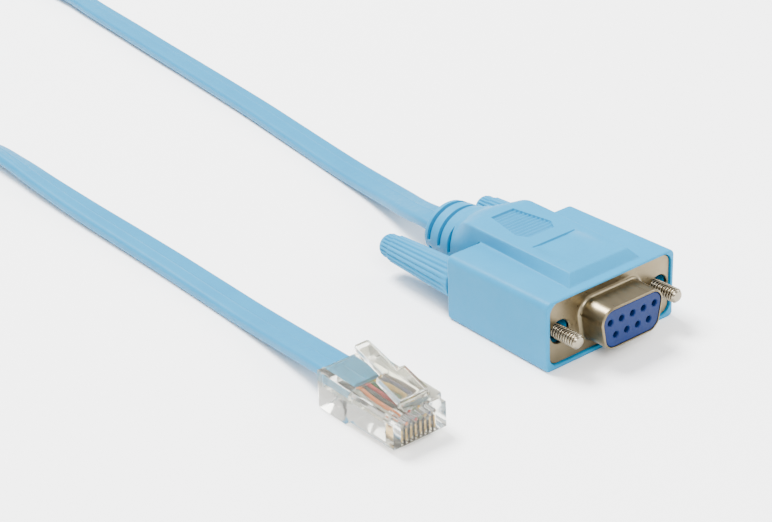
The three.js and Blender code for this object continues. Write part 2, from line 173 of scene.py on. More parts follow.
def rounded_loops(corners: Array, radii: Array, arcs: list[int], sides: list) -> Array:
    """Closed outlines with rounded corners, one for each section, all with the same number of points.

    Each corner is an arc that touches both its sides: its tangent length is the radius times the tangent of
    half the turn, and its points turn the arc's start round the arc's centre.

    Args:
        corners: Sections by corners by 2, anticlockwise.
        radii: Sections by corners.
        arcs: Steps in each corner's arc.
        sides: For the side after each corner, a count of points, or sections by count of shares along it.

    Returns:
        Sections by points by 2.
    """
    before = corners - np.roll(corners, 1, axis=1)
    after = np.roll(corners, -1, axis=1) - corners
    u = before / np.linalg.norm(before, axis=2, keepdims=True)
    v = after / np.linalg.norm(after, axis=2, keepdims=True)
    turn = np.arctan2(u[..., 0] * v[..., 1] - u[..., 1] * v[..., 0], (u * v).sum(2))
    reach = (radii * np.tan(np.abs(turn) / 2))[..., None]
    start = corners - u * reach
    end = corners + v * reach
    normal = np.stack([-u[..., 1], u[..., 0]], axis=-1) * np.sign(turn)[..., None]
    centre = start + normal * radii[..., None]
    parts = []
    for i, steps in enumerate(arcs):
        share = np.linspace(0, 1, steps + 1)
        a = turn[:, i, None] * share
        arm = (start - centre)[:, i, None, :]
        x = arm[..., 0] * np.cos(a) - arm[..., 1] * np.sin(a)
        y = arm[..., 0] * np.sin(a) + arm[..., 1] * np.cos(a)
        parts.append(centre[:, i, None, :] + np.stack([x, y], axis=-1))
        side = sides[i]
        if isinstance(side, int):
            side = np.broadcast_to(np.arange(1, side + 1) / (side + 1), (len(corners), side))
        nearer = end[:, i, None, :]
        further = start[:, (i + 1) % len(arcs), None, :]
        parts.append(nearer + (further - nearer) * side[..., None])
    return np.concatenate(parts, axis=1)


def rounded_rectangle(width: float, height: float, radius: float, middle: tuple = (0.0, 0.0),
                      arc: int = 6, side: int = 2) -> Array:
    """One rectangle with round corners.

    Args:
        width: Its whole width.
        height: Its whole height.
        radius: The corners' radius.
        middle: The X and Z of its middle.
        arc: Steps in each corner's arc.
        side: Points along each side.

    Returns:
        X and Z pairs, anticlockwise from the lower left.
    """
    a, b = width / 2, height / 2
    corners = np.array([[[-a, -b], [a, -b], [a, b], [-a, b]]]) + np.array(middle)
    return rounded_loops(corners, np.full((1, 4), radius), [arc] * 4, [side] * 4)[0]


def circle(x: float, z: float, radius: float, sides: int) -> Array:
    """A circle's points, as X and Z pairs."""
    angle = np.linspace(0, 2 * math.pi, sides, endpoint=False)
    return np.stack([x + radius * np.cos(angle), z + radius * np.sin(angle)], axis=1)


def at_y(loops: Array, y: Array) -> Array:
    """Puts loops of X and Z pairs at their Y, which gives rows of points in space."""
    depth = np.broadcast_to(np.asarray(y, float)[:, None], loops.shape[:2])
    return np.stack([loops[..., 0], depth, loops[..., 1]], axis=-1)


def rings(*pairs: tuple[Array, float]) -> Array:
    """Rows of points in space, from loops of X and Z pairs with the Y of each."""
    return np.stack([at_y(loop[None], np.array([y]))[0] for loop, y in pairs])


def closed(rows: Array) -> list[Patch]:
    """A closed skin: a grid round the rows of points, and a cap over the first and the last."""
    return [grid(rows), cap(rows[0]), cap(rows[-1])]


def around(radius: Array, y: Array, angle: Array) -> Array:
    """Rows of points round the Y axis, at (r cos a, y, r sin a)."""
    depth = np.broadcast_to(y[:, None], radius.shape)
    return np.stack([radius * np.cos(angle), depth, radius * np.sin(angle)], axis=-1)


def soft_step(value: Array, low: float, high: float) -> Array:
    """0 below low, 1 above high, and 3 t squared less 2 t cubed between them."""
    t = np.clip((np.asarray(value, float) - low) / (high - low), 0, 1)
    return t * t * (3 - 2 * t)


def eased(distance: Array, ease: float) -> Array:
    """Nothing before 0 and the distance itself after it, with the bend between them eased over a length."""
    return 0.5 * (distance + np.sqrt(distance * distance + ease * ease))


def soft_ramp(value: Array, low: float, high: float, ease: float) -> Array:
    """A straight ramp from 0 at low to 1 at high whose two bends are eased over a length."""
    x = np.asarray(value, float)
    return (eased(x - low, ease) - eased(x - high, ease)) / (high - low)


def curve_through(at: Array, knots: tuple) -> Array:
    """A smooth curve through a few values, in cubic pieces.

    The slope at each value is a mean of the two straight slopes beside it, where the shorter stretch's
    counts more.

    Args:
        at: Where the curve is wanted.
        knots: Pairs of a place and the value there, by rising place.

    Returns:
        The curve's value at each wanted place. Beyond the knots it stays at the end value.
    """
    x, y = np.asarray(knots, float).T
    slope = np.gradient(y, x)
    i = np.clip(np.searchsorted(x, at) - 1, 0, len(x) - 2)
    h = x[i + 1] - x[i]
    t = np.clip((at - x[i]) / h, 0, 1)
    first = (2 * t**3 - 3 * t**2 + 1) * y[i] + (t**3 - 2 * t**2 + t) * h * slope[i]
    second = (3 * t**2 - 2 * t**3) * y[i + 1] + (t**3 - t**2) * h * slope[i + 1]
    return first + second


# Pieces


def finished_mesh(patches: list[Patch], name: str) -> bpy.types.Mesh:
    """Joins patches, welds their seams and turns the faces outwards.

    Args:
        patches: The patches, which close up together.
        name: The mesh's name.

    Returns:
        The mesh, in metres in the frame.
    """
    points = np.concatenate([to_frame(p.points) for p in patches])
    faces = []
    start = 0
    for p in patches:
        faces.extend([tuple(start + i for i in face) for face in p.faces])
        start += len(p.points)
    mesh = bpy.data.meshes.new(name)
    mesh.from_pydata(points.tolist(), [], faces)
    work = bmesh.new()
    work.from_mesh(mesh)
    bmesh.ops.remove_doubles(work, verts=work.verts, dist=WELD)
    bmesh.ops.dissolve_degenerate(work, edges=work.edges, dist=SPECK)
    bmesh.ops.recalc_face_normals(work, faces=work.faces)
    if work.calc_volume(signed=True) < 0:
        bmesh.ops.reverse_faces(work, faces=work.faces)
    work.to_mesh(mesh)
    work.free()
    return mesh


def smooth(mesh: bpy.types.Mesh, angle: float = SMOOTH_UNDER) -> None:
    """Shades a mesh smooth, apart from edges that turn by more than the angle in degrees."""
    mesh.shade_smooth()
    mesh.set_sharp_from_angle(angle=math.radians(angle))


def new_object(name: str, patches: list[Patch]) -> bpy.types.Object:
    """A new object at the origin.

    Args:
        name: Its name.
        patches: Its patches, which close up together.

    Returns:
        The object.
    """
    piece = bpy.data.objects.new(name, finished_mesh(patches, name))
    bpy.context.scene.collection.objects.link(piece)
    return piece


def settle(piece: bpy.types.Object) -> None:
    """Applies an object's modifiers to its mesh.

    Args:
        piece: The object.
    """
    shape = piece.evaluated_get(bpy.context.evaluated_depsgraph_get())
    mesh = bpy.data.meshes.new_from_object(shape)
    piece.modifiers.clear()
    piece.data = mesh


def carve(piece: bpy.types.Object, cutters: list[list[Patch]]) -> None:
    """Cuts closed shapes out of a piece.

    Args:
        piece: The piece.
        cutters: The patches of each closed shape.
    """
    tools = [new_object("cutter", patches) for patches in cutters]
    for tool in tools:
        cut = piece.modifiers.new("cut", "BOOLEAN")
        cut.operation = "DIFFERENCE"
        cut.solver = "EXACT"
        cut.object = tool
    settle(piece)
    for tool in tools:
        bpy.data.objects.remove(tool)


def bevel(piece: bpy.types.Object, width: float, segments: int = 3, angle: float = 30.0) -> None:
    """Rounds a piece's edges.

    Args:
        piece: The piece.
        width: The rounding's width in millimetres.
        segments: Steps across it.
        angle: Edges that turn by more than this many degrees are rounded.
    """
    edge = piece.modifiers.new("edge", "BEVEL")
    edge.width = width * MM
    edge.segments = segments
    edge.limit_method = "ANGLE"
    edge.angle_limit = math.radians(angle)
    settle(piece)


def dress(piece: bpy.types.Object, material: bpy.types.Material, body: Body, nodes: list[str],
          angle: float = SMOOTH_UNDER) -> bpy.types.Object:
    """Shades a piece, gives it its material and ties it to the frame.

    Args:
        piece: The finished object.
        material: Its material.
        body: The body that it moves with.
        nodes: The CAD nodes that it stands for.
        angle: Edges sharper than this many degrees stay sharp.

    Returns:
        The same object.
    """
    smooth(piece.data, angle)
    piece.data.materials.clear()
    piece.data.materials.append(material)
    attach(piece, body.value)
    if nodes:
        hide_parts(*nodes)
    triangles = sum(len(p.vertices) - 2 for p in piece.data.polygons)
    log.info("%s: %d triangles, on %s", piece.name, triangles, body.value)
    return piece


# Finishes


class Shader:
    """A material's nodes, made and joined by short calls."""

    noise_low: float = 0.3
    noise_high: float = 0.7

    def __init__(self, name: str) -> None:
        """Starts a material with its Principled shader.

        Args:
            name: The material's name.
        """
        self.material = bpy.data.materials.new(name)
        self.material.use_nodes = True
        self.tree = self.material.node_tree
        self.surface = self.tree.nodes["Principled BSDF"]

    def node(self, kind: str, **values: object) -> bpy.types.Node:
        """Adds a node.

        Args:
            kind: Its type.
            values: Values for its inputs or its settings, by name.

        Returns:
            The node.
        """
        made = self.tree.nodes.new(kind)
        for key, value in values.items():
            label = key.replace("_", " ").capitalize()
            if label in made.inputs:
                made.inputs[label].default_value = value
            else:
                setattr(made, key, value)
        return made

    def join(self, source: bpy.types.NodeSocket, target: bpy.types.NodeSocket) -> None:
        """Links two sockets."""
        self.tree.links.new(source, target)

    def set(self, **values: object) -> None:
        """Sets constant values on the shader's own sockets."""
        for key, value in values.items():
            self.surface.inputs[key.replace("_", " ")].default_value = value

    def noise(self, scale: float, detail: float = 3.0,
              stretch: tuple = (1.0, 1.0, 1.0)) -> bpy.types.NodeSocket:
        """Noise on Object coordinates.

        Args:
            scale: Features for each metre.
            detail: How many finer layers lie over the first.
            stretch: The scale's factor along X, Y and Z.

        Returns:
            The noise, from 0 to 1.
        """
        where = self.node("ShaderNodeTexCoord")
        place = self.node("ShaderNodeMapping")
        place.inputs["Scale"].default_value = stretch
        clouds = self.node("ShaderNodeTexNoise", scale=scale, detail=detail)
        self.join(where.outputs["Object"], place.inputs["Vector"])
        self.join(place.outputs["Vector"], clouds.inputs["Vector"])
        return clouds.outputs["Fac"]

    def range(self, source: bpy.types.NodeSocket, low: float, high: float) -> bpy.types.NodeSocket:
        """Maps the part of a noise's range that it mostly keeps to.

        Args:
            source: The noise.
            low: What its low end becomes.
            high: What its high end becomes.

        Returns:
            The mapped value, kept between low and high.
        """
        stretch = self.node("ShaderNodeMapRange")
        stretch.inputs["From Min"].default_value = self.noise_low
        stretch.inputs["From Max"].default_value = self.noise_high
        stretch.inputs["To Min"].default_value = low
        stretch.inputs["To Max"].default_value = high
        self.join(source, stretch.inputs["Value"])
        return stretch.outputs["Result"]

    def blend(self, factor: bpy.types.NodeSocket, first: Colour, second: Colour) -> bpy.types.NodeSocket:
        """Mixes two colours.

        Args:
            factor: 0 for the first colour, 1 for the second.
            first: The first colour.
            second: The second colour.

        Returns:
            The mixed colour.
        """
        mix = self.node("ShaderNodeMix", data_type="RGBA")
        colour_in = [s for s in mix.inputs if s.type == "RGBA"]
        colour_in[0].default_value = (*first, 1.0)
        colour_in[1].default_value = (*second, 1.0)
        self.join(factor, mix.inputs[0])
        return [s for s in mix.outputs if s.type == "RGBA"][0]

    def mottle(self, dark: Colour, light: Colour, source: bpy.types.NodeSocket) -> None:
        """Gives the surface a base colour that wanders between two colours with a noise."""
        share = self.range(source, 0.0, 1.0)
        self.join(self.blend(share, dark, light), self.surface.inputs["Base Color"])

    def gloss(self, low: float, high: float, source: bpy.types.NodeSocket) -> None:
        """Gives the surface a roughness that wanders from low to high with a noise."""
        self.join(self.range(source, low, high), self.surface.inputs["Roughness"])

    def bump(self, height: bpy.types.NodeSocket, strength: float, distance: float) -> None:
        """Bumps the surface.

        Args:
            height: The bumps' shape, from 0 to 1.
            strength: How much of the bump shows, from 0 to 1.
            distance: The bumps' height in millimetres.
        """
        bump = self.node("ShaderNodeBump", strength=strength)
        bump.inputs["Distance"].default_value = distance * MM
        self.join(height, bump.inputs["Height"])
        self.join(bump.outputs["Normal"], self.surface.inputs["Normal"])


@dataclass(frozen=True)
class SoftVinyl:
    """Moulded soft PVC: slightly mottled, satin, with a very fine grain."""

    name: str
    light: Colour
    dark: Colour
    roughness: float = 0.5
    mottle_scale: float = 140.0
    gloss_scale: float = 900.0
    grain_scale: float = 4200.0
    grain: float = 0.02
    shine: float = 0.2
    bleed: float = 0.04
    bleed_depth: float = 0.0002
    bleed_colour: Colour = (0.5, 0.9, 1.0)

    def build(self) -> bpy.types.Material:
        """Makes the material.

        Returns:
            The material.
        """
        s = Shader(self.name)
        s.mottle(self.dark, self.light, s.noise(self.mottle_scale))
        s.gloss(self.roughness - 0.05, self.roughness + 0.07, s.noise(self.gloss_scale, 4.0))
        s.bump(s.noise(self.grain_scale, 4.0), 0.25, self.grain)
        s.set(IOR=1.5, Specular_IOR_Level=self.shine)
        s.set(Subsurface_Weight=self.bleed, Subsurface_Scale=self.bleed_depth)
        s.set(Subsurface_Radius=self.bleed_colour)
        return s.material


@dataclass(frozen=True)
class Plating:
    """Plated metal: warm or cold tint, with faint drawn streaks and cloudy wear."""

    name: str
    light: Colour
    dark: Colour
    roughness: float = 0.31
    streak: tuple = (1.0, 0.12, 1.0)
    cloud_scale: float = 210.0
    wear_scale: float = 1500.0
    line_scale: float = 2600.0
    line_depth: float = 0.004

    def build(self) -> bpy.types.Material:
        """Makes the material.

        Returns:
            The material.
        """
        s = Shader(self.name)
        s.mottle(self.dark, self.light, s.noise(self.cloud_scale, 5.0))
        s.gloss(self.roughness - 0.04, self.roughness + 0.08, s.noise(self.wear_scale, 5.0, self.streak))
        s.bump(s.noise(self.line_scale, 5.0, self.streak), 0.05, self.line_depth)
        s.set(Metallic=1.0)
        return s.material


@dataclass(frozen=True)
class HardPlastic:
    """Rigid moulded plastic with a fine even gloss."""

    name: str
    light: Colour
    dark: Colour
    roughness: float = 0.33
    mottle_scale: float = 600.0
    gloss_scale: float = 2000.0
    grain_scale: float = 5200.0
    grain: float = 0.01
    shine: float = 0.12

    def build(self) -> bpy.types.Material:
        """Makes the material.

        Returns:
            The material.
        """
        s = Shader(self.name)
        s.mottle(self.dark, self.light, s.noise(self.mottle_scale, 4.0))
        s.gloss(self.roughness - 0.05, self.roughness + 0.08, s.noise(self.gloss_scale))
        s.bump(s.noise(self.grain_scale), 0.2, self.grain)
        s.set(IOR=1.5, Specular_IOR_Level=self.shine)
        return s.material


@dataclass(frozen=True)
class ClearPlastic:
    """Clear polycarbonate with a faint warm grey tint and slight flow marks."""

    name: str
    tint: Colour = (0.96, 0.95, 0.865)
    roughness: float = 0.045
    haze_scale: float = 420.0
    flow_scale: float = 330.0
    flow_depth: float = 0.05
    bending: float = 1.26
    clarity: float = 0.975

    def build(self) -> bpy.types.Material:
        """Makes the material.

        Returns:
            The material.
        """
        s = Shader(self.name)
        s.gloss(self.roughness - 0.015, self.roughness + 0.04, s.noise(self.haze_scale, 4.0))
        s.bump(s.noise(self.flow_scale), 0.12, self.flow_depth)
        s.set(IOR=self.bending, Transmission_Weight=self.clarity, Base_Color=(*self.tint, 1.0))
        return s.material


SKY = SoftVinyl("sky_vinyl", light=(0.002, 0.195, 0.375), dark=(0.001, 0.183, 0.355))
JACKET = SoftVinyl("cable_vinyl", light=(0.002, 0.170, 0.330), dark=(0.001, 0.158, 0.312), roughness=0.45)
# The tin's colours are far darker than bare tin plate. This is painted shade: it stands in for the darker
# surroundings that the real flange and shell reflect, which the white surround here does not give.
TIN = Plating("tin_plate", light=(0.19, 0.157, 0.096), dark=(0.158, 0.128, 0.077))
# The nickel's colours are far darker than bare nickel plate. This is painted shade: it dims the screws'
# reflections of the lamps so that their thread valleys read darker.
NICKEL = Plating("nickel_plate", light=(0.30, 0.265, 0.20), dark=(0.22, 0.19, 0.135), roughness=0.2)
BLUE = HardPlastic("insulator_blue", light=(0.001, 0.013, 0.078), dark=(0.001, 0.011, 0.068))
GOLD = Plating("contact_gold", light=(0.62, 0.42, 0.13), dark=(0.50, 0.32, 0.09), roughness=0.24)
CLEAR = ClearPlastic("clear_plastic")
CORE_FINISHES = {
    "core_white": (0.26, 0.27, 0.25), "core_orange": (0.46, 0.105, 0.0), "core_black": (0.004, 0.004, 0.004),
    "core_red": (0.30, 0.002, 0.003), "core_green": (0.001, 0.08, 0.009), "core_yellow": (0.40, 0.23, 0.002),
    "core_blue": (0.002, 0.005, 0.075), "core_brown": (0.035, 0.011, 0.005),
}


# The camera, the floor and the light


@dataclass
class PictureCamera:
    """The camera that took the picture: where it stands, which way it looks and how far it rolls.

    Its angles are in degrees, its lengths in millimetres, and how near and far it sees in metres.
    """

    azimuth: float = -37.715
    elevation: float = 27.744
    roll: float = -2.324
    distance: float = 380.528
    aim: tuple = (-15.814, 45.733, 5.0)
    focal_pixels: float = 1951.532
    picture_width: int = 772
    sensor: float = 36.0
    sees_from: float = 0.01
    sees_to: float = 20.0

    def build(self) -> bpy.types.Object:
        """Makes the camera, and makes it the scene's.

        Returns:
            The camera.
        """
        a, e, r = (math.radians(v) for v in (self.azimuth, self.elevation, self.roll))
        back = Vector((math.sin(a) * math.cos(e), -math.cos(a) * math.cos(e), math.sin(e)))
        across = Vector((math.cos(a), math.sin(a), 0.0))
        over = back.cross(across)
        right = across * math.cos(r) + over * math.sin(r)
        up = over * math.cos(r) - across * math.sin(r)
        lens = bpy.data.cameras.new("picture_camera")
        lens.sensor_width = self.sensor
        lens.lens = self.focal_pixels * self.sensor / self.picture_width
        lens.clip_start = self.sees_from
        lens.clip_end = self.sees_to
        camera = bpy.data.objects.new("picture_camera", lens)
        turn = Matrix((right, up, back)).transposed().to_4x4()
        place = Vector(to_frame(np.array(self.aim))) + back * self.distance * MM
        camera.matrix_world = Matrix.Translation(place) @ turn
        bpy.context.scene.collection.objects.link(camera)
        bpy.context.scene.camera = camera
        return camera


@dataclass
class Studio:
    """A pale floor, a pale surround and soft lights.

    Each light is a name, a place from the aim in metres, a side in metres and a power in watts. The aim and
    the floor's drop are in millimetres.
    """

    floor_side: float = 6.0
    floor_drop: float = 0.02
    floor_colour: Colour = (0.98, 0.98, 0.98)
    surround: float = 1.2
    aim: tuple = (-15.0, 30.0, 5.0)
    lights: tuple = (
        ("key", (-0.45, -0.85, 0.85), 0.50, 19.0),
        ("fill", (0.85, -0.30, 0.60), 0.60, 9.0),
        ("top", (-0.10, 0.65, 1.20), 0.55, 66.0),
    )

    def build(self) -> None:
        """Makes the floor, the surround and the lights."""
        half = self.floor_side / 2 / MM
        points = np.array([[-half, -half, 0], [half, -half, 0], [half, half, 0], [-half, half, 0]], float)
        floor = new_object("floor", [Patch(points - np.array([0, 0, self.floor_drop]), [(0, 1, 2, 3)])])
        s = Shader("pale_floor")
        s.set(Base_Color=(*self.floor_colour, 1.0), Roughness=0.9, Specular_IOR_Level=0.0)
        floor.data.materials.append(s.material)
        world = bpy.data.worlds.new("surround")
        bpy.context.scene.world = world
        world.use_nodes = True
        sky = world.node_tree.nodes["Background"]
        sky.inputs["Color"].default_value = (1.0, 1.0, 1.0, 1.0)
        sky.inputs["Strength"].default_value = self.surround
        aim = Vector(to_frame(np.array(self.aim)))
        for name, place, size, power in self.lights:
            lamp = bpy.data.lights.new(name, "AREA")
            lamp.shape = "SQUARE"
            lamp.size = size
            lamp.energy = power
            holder = bpy.data.objects.new(name, lamp)
            holder.location = aim + Vector(place)
            holder.rotation_euler = (aim - holder.location).to_track_quat("-Z", "Y").to_euler()
            bpy.context.scene.collection.objects.link(holder)


# The hood


@dataclass
class Hood:
    """The soft moulding round the nine-way connector: box, hump, neck and slotted strain relief in one.

    Every section across Y is one closed outline with the same points in it, so the whole skin is one grid.
    The outline's corners are, in order, the box's two lower ones, its upper right one, the hump's foot and
    shoulder on the right, and the same on the left.

    The neck's tuples pair a Y with the section's half width, top, underside or power there. The slots' pairs
    are where an edge starts and ends: in halves of a slot's width for its wall, and for the others in degrees
    above the level, seen from the axis. The lead is a rounding's small step, and the hair keeps two corners
    from falling on each other.
    """

    half_width: float = 16.1
    front_height: float = 14.15
    rear_height: float = 13.45
    length: float = 27.1
    rim: float = 0.45
    corner: float = 1.3
    heel: float = 0.9
    edge: float = 0.4
    seat_width: float = 30.6
    seat_height: float = 12.8
    seat_corner: float = 2.1
    seat_depth: float = 0.8
    hump_front: float = 1.4
    hump_slope: float = 1.7
    hump_height: float = 1.95
    hump_foot: float = 9.0
    hump_top: float = 7.3
    hump_rear: float = 7.8
    hump_edge: float = 0.35
    hump_root: float = 0.25
    hump_even_from: float = 25.0
    hump_ease: float = 0.12
    relief_above: float = 0.4
    row_gap: float = 0.15
    least_rise: float = 0.004
    least_radius: float = 0.2
    label_half: float = 5.3
    label_from: float = 6.4
    label_to: float = 15.0
    label_depth: float = 0.34
    rib_from: float = 18.4
    rib_to: float = 29.3
    rib_count: int = 11
    rib_chamfer: float = 2.2
    rib_halves: tuple = (3.1, 4.4, 2.8)
    wall_half: float = 0.06
    panel_depth: float = 0.22
    rib_depth: float = 0.38
    rear_edge: float = 0.6
    neck_floor: float = 1.0
    neck_step: float = 0.8
    neck_heel: float = 3.2
    neck_blend: tuple = (2.0, 9.5)
    neck_half: tuple = (
        (27.1, 7.8), (31.5, 7.55), (34.5, 7.3), (37.1, 7.1), (40.5, 6.75), (43.9, 6.4), (45.6, 6.25),
    )
    neck_top: tuple = (
        (27.1, 16.1), (30.0, 16.0), (33.0, 15.3), (37.1, 14.0), (40.5, 13.3), (43.9, 12.95), (45.6, 12.8),
    )
    neck_low: tuple = (
        (27.1, 1.0), (31.0, 0.9), (34.5, 0.85), (37.1, 0.95), (40.5, 1.25), (43.9, 1.6), (45.6, 1.75),
    )
    neck_power: tuple = ((27.1, 5.0), (31.0, 3.6), (34.5, 2.7), (37.1, 2.3), (40.5, 2.1), (45.6, 2.0))
    relief_end: float = 45.6
    end_edge: float = 0.5
    end_radius: float = 6.0
    slot_width: float = 1.0
    slot_depth: float = 1.9
    slot_places: tuple = (43.9, 40.5, 37.1)
    slot_wall: tuple = (0.93, 1.02)
    slot_round: tuple = (6.3, 5.9)
    slot_upper: tuple = (-3.0, 0.5)
    slot_lower: tuple = (-21.0, -17.5)
    slot_side_end: tuple = (52.0, 58.0)
    slot_point: tuple = (22.0, 56.0)
    slot_narrowing: float = 0.9
    cable_hole: tuple = (7.1, 2.6)
    cable_hole_corner: float = 0.9
    cable_hole_depth: float = 4.0
    lead: float = 0.12
    hair: float = 0.02
    channel: float = 4.6
    pocket_depth: float = 4.1

    def rib_half(self, y: Array) -> Array:
        """Half the ribbed panel's width: chamfered in front, and drawn in towards the rear."""
        return np.interp(y, [self.rib_from, self.rib_from + self.rib_chamfer, self.rib_to], self.rib_halves)

    def stations(self) -> Array:
        """The Y of each section behind the rounded rim, closer together where there is relief.

        The bare numbers only set how finely the skin follows its formulas.

        Returns:
            The places, in rising order.
        """
        before, after = self.hump_front - 0.35, self.hump_front + self.hump_slope + 0.45
        slope = np.linspace(before, after, 22)
        wall = np.array([-0.07, 0.07])
        label = np.concatenate([self.label_from + wall, self.label_to + wall])
        rows_in_rib = 8
        ribs = np.linspace(self.rib_from - 0.1, self.rib_to + 0.1, self.rib_count * rows_in_rib + 3)
        plain = np.concatenate([
            np.linspace(0.1, 0.9, 2),
            np.linspace(4.2, self.label_from - 0.6, 3),
            np.linspace(self.label_from + 0.8, self.label_to - 0.8, 6),
            np.linspace(15.7, self.rib_from - 0.5, 3),
        ])
        return np.sort(np.concatenate([slope, label, ribs, plain]))

    def neck_stations(self) -> Array:
        """The Y of each section behind the ribs, with a set of rows at each slot.

        Returns:
            The places, in rising order.
        """
        half = np.array([0.0, 0.5, 0.93, 1.0, 1.12, 1.5])
        across = np.concatenate([-half[:0:-1], half]) * self.slot_width / 2
        slots = np.concatenate([y + across for y in self.slot_places])
        plain = np.concatenate([
            np.linspace(self.rib_to + 0.4, 35.9, 14), [38.2, 38.8, 39.4, 41.6, 42.2, 42.8],
        ])
        return np.sort(np.concatenate([slots, plain]))

    def top_shares(self, y: Array, start: Array, end: Array) -> Array:
        """Where the hump's top has its points, so that some follow the label's and the ribbed panel's sides.

        Args:
            y: Each section's Y.
            start: The X where the top starts, on the right.
            end: The X where it ends, on the left.

        Returns:
            Sections by shares of the way from start to end.
        """
        half = self.rib_half(y)
        wall = self.wall_half
        ones = np.ones_like(y)
        right = [
            (self.label_half + 1.0) * ones, (self.label_half + wall) * ones, (self.label_half - wall) * ones,
            half + wall, half - wall,
        ]
        inner = np.linspace(0.8, 0.0, 5)[:-1]
        right += [(half - wall) * share for share in inner]
        x = np.stack(right + [0 * ones] + [-column for column in right[::-1]], axis=1)
        room = start - 0.2
        x = x * np.minimum(1.0, room / (self.label_half + 1.2))[:, None]
        return (start[:, None] - x) / (start - end)[:, None]

    def outline(self, y: Array, inset: Array, rise: Array) -> Array:
        """The box and hump's outline.

        The hump's side keeps its slope while its front rises: at a part of the height, its shoulder has come
        in by the same part of the way from its foot.

        Args:
            y: Each section's Y.
            inset: How far each section's box is drawn in, for rounded edges.
            rise: How much of the hump's height each section has, from 0 to 1.

        Returns:
            Sections by points by 2.
        """
        ones = np.ones_like(y)
        share = np.clip((y + self.rim) / (self.length + self.rim), 0, 1)
        high = self.front_height + (self.rear_height - self.front_height) * share
        crest = self.front_height + self.hump_height
        w = self.half_width - inset
        top = high - inset
        back = np.clip((y - self.hump_front) / (self.hump_even_from - self.hump_front), 0, 1)
        foot = self.hump_foot + (self.hump_rear - self.hump_foot) * back
        full = self.hump_top + (self.hump_rear - self.hump_top) * back - self.hair
        shoulder = foot - (foot - full) * rise - self.hair
        peak = top + (crest - top) * np.maximum(rise, self.least_rise)
        across = np.stack([-w, w, w, foot, shoulder, -shoulder, -foot, -w], axis=1)
        up = np.stack([inset, inset, top, top, peak, peak, top, top], axis=1)
        corners = np.stack([across, up], axis=-1)
        box = self.corner - np.minimum(inset, self.corner - self.least_radius)
        heel = self.heel - np.minimum(inset, self.heel - self.least_radius)
        low = self.hump_root * rise
        edge = self.hump_edge * rise
        radii = np.stack([heel, heel, box, low, edge, edge, low, box], axis=1) * ones[:, None]
        return rounded_loops(corners, radii, self.arcs(), self.sides(y, shoulder - edge, -shoulder + edge))

    @staticmethod
    def arcs() -> list[int]:
        """Steps in each corner's arc."""
        return [6, 6, 6, 3, 4, 4, 3, 6]

    def sides(self, y: Array, start: Array, end: Array) -> list:
        """Points along each side. The hump's top has its own."""
        return [22, 18, 5, 4, self.top_shares(y, start, end), 4, 5, 18]

    def neck_root(self, y: Array) -> Array:
        """The neck's outline where it leaves the box's rear: the hump's sides carried down, on a round heel.

        Args:
            y: Each section's Y.

        Returns:
            Sections by points by 2.
        """
        ones = np.ones_like(y)
        w = (self.hump_rear - self.hair) * ones
        crest = (self.front_height + self.hump_height) * ones
        foot = self.rear_height * ones
        step = foot - self.neck_step
        floor = self.neck_floor * ones
        across = np.stack([-w, w, w, w, w - self.hair, -w + self.hair, -w, -w], axis=1)
        up = np.stack([floor, floor, step, foot, crest, crest, foot, step], axis=1)
        corners = np.stack([across, up], axis=-1)
        heel, edge = self.neck_heel, self.hump_edge
        radii = np.array([heel, heel, 0.0, 0.0, edge, edge, 0.0, 0.0]) * ones[:, None]
        shoulder = w - self.hair - edge
        return rounded_loops(corners, radii, self.arcs(), self.sides(y, shoulder, -shoulder))

    def neck(self, y: Array) -> Array:
        """The neck and relief: the root's outline turns into an ellipse that gets smaller to the rear.

        A point keeps its share of a full turn. On a section of power p it is at the half sizes times the
        cosine and the sine to the power 2 / p.

        Args:
            y: Each section's Y.

        Returns:
            Sections by points by 2.
        """
        root = self.neck_root(y)
        crest = self.front_height + self.hump_height
        centre = (self.neck_floor + crest) / 2
        rise = (root[..., 1] - centre) / (crest - self.neck_floor)
        angle = np.arctan2(rise, root[..., 0] / (2 * self.hump_rear))
        half = curve_through(y, self.neck_half)
        top = curve_through(y, self.neck_top)
        low = curve_through(y, self.neck_low)
        power = curve_through(y, self.neck_power)[:, None]
        c, s = np.cos(angle), np.sin(angle)
        x = half[:, None] * np.sign(c) * np.abs(c) ** (2 / power)
        z = ((top + low) / 2)[:, None] + ((top - low) / 2)[:, None] * np.sign(s) * np.abs(s) ** (2 / power)
        ellipse = np.stack([x, z], axis=-1)
        start, end = self.neck_blend
        mix = soft_step(y, self.length + start, self.length + end)[:, None, None]
        return root * (1 - mix) + ellipse * mix

    def slotted(self, loops: Array, y: Array) -> tuple[Array, Array]:
        """Sinks the slots. Two have an upper and a lower part, and the third only opens at the sides.

        Args:
            loops: The neck's outlines.
            y: Their Y.

        Returns:
            The outlines with slots, and the Y of each point, which narrows the third slot to a point.
        """
        centre = np.array([0.0, AXIS_Z])
        arm = loops - centre
        reach = np.linalg.norm(arm, axis=-1, keepdims=True)
        half_width, half_height = self.slot_round
        degrees = np.degrees(np.arctan2(arm[..., 1] / half_height, np.abs(arm[..., 0]) / half_width))
        place = np.broadcast_to(y[:, None], degrees.shape).copy()
        depth = np.zeros_like(degrees)
        for number, slot in enumerate(self.slot_places):
            near = np.abs(y - slot) <= self.slot_width * 0.8
            across = (y[near, None] - slot) / (self.slot_width / 2)
            floor = 1.0 - soft_step(np.abs(across), *self.slot_wall)
            upper = soft_step(degrees[near], *self.slot_upper)
            if number < 2:
                opened = upper + 1.0 - soft_step(degrees[near], *self.slot_lower)
                keep = np.ones_like(opened)
            else:
                opened = upper * (1.0 - soft_step(degrees[near], *self.slot_side_end))
                keep = 1.0 - self.slot_narrowing * soft_step(degrees[near], *self.slot_point)
            depth[near] += self.slot_depth * floor * opened
            place[near] = slot + (y[near, None] - slot) * keep
        return centre + arm * (1 - depth[..., None] / reach), place

    def inside(self, value: Array, limit: Array) -> Array:
        """1 where a value is under its limit and 0 where it is over, with a wall's short slope between."""
        return np.clip((limit + self.wall_half - value) / (2 * self.wall_half), 0, 1)

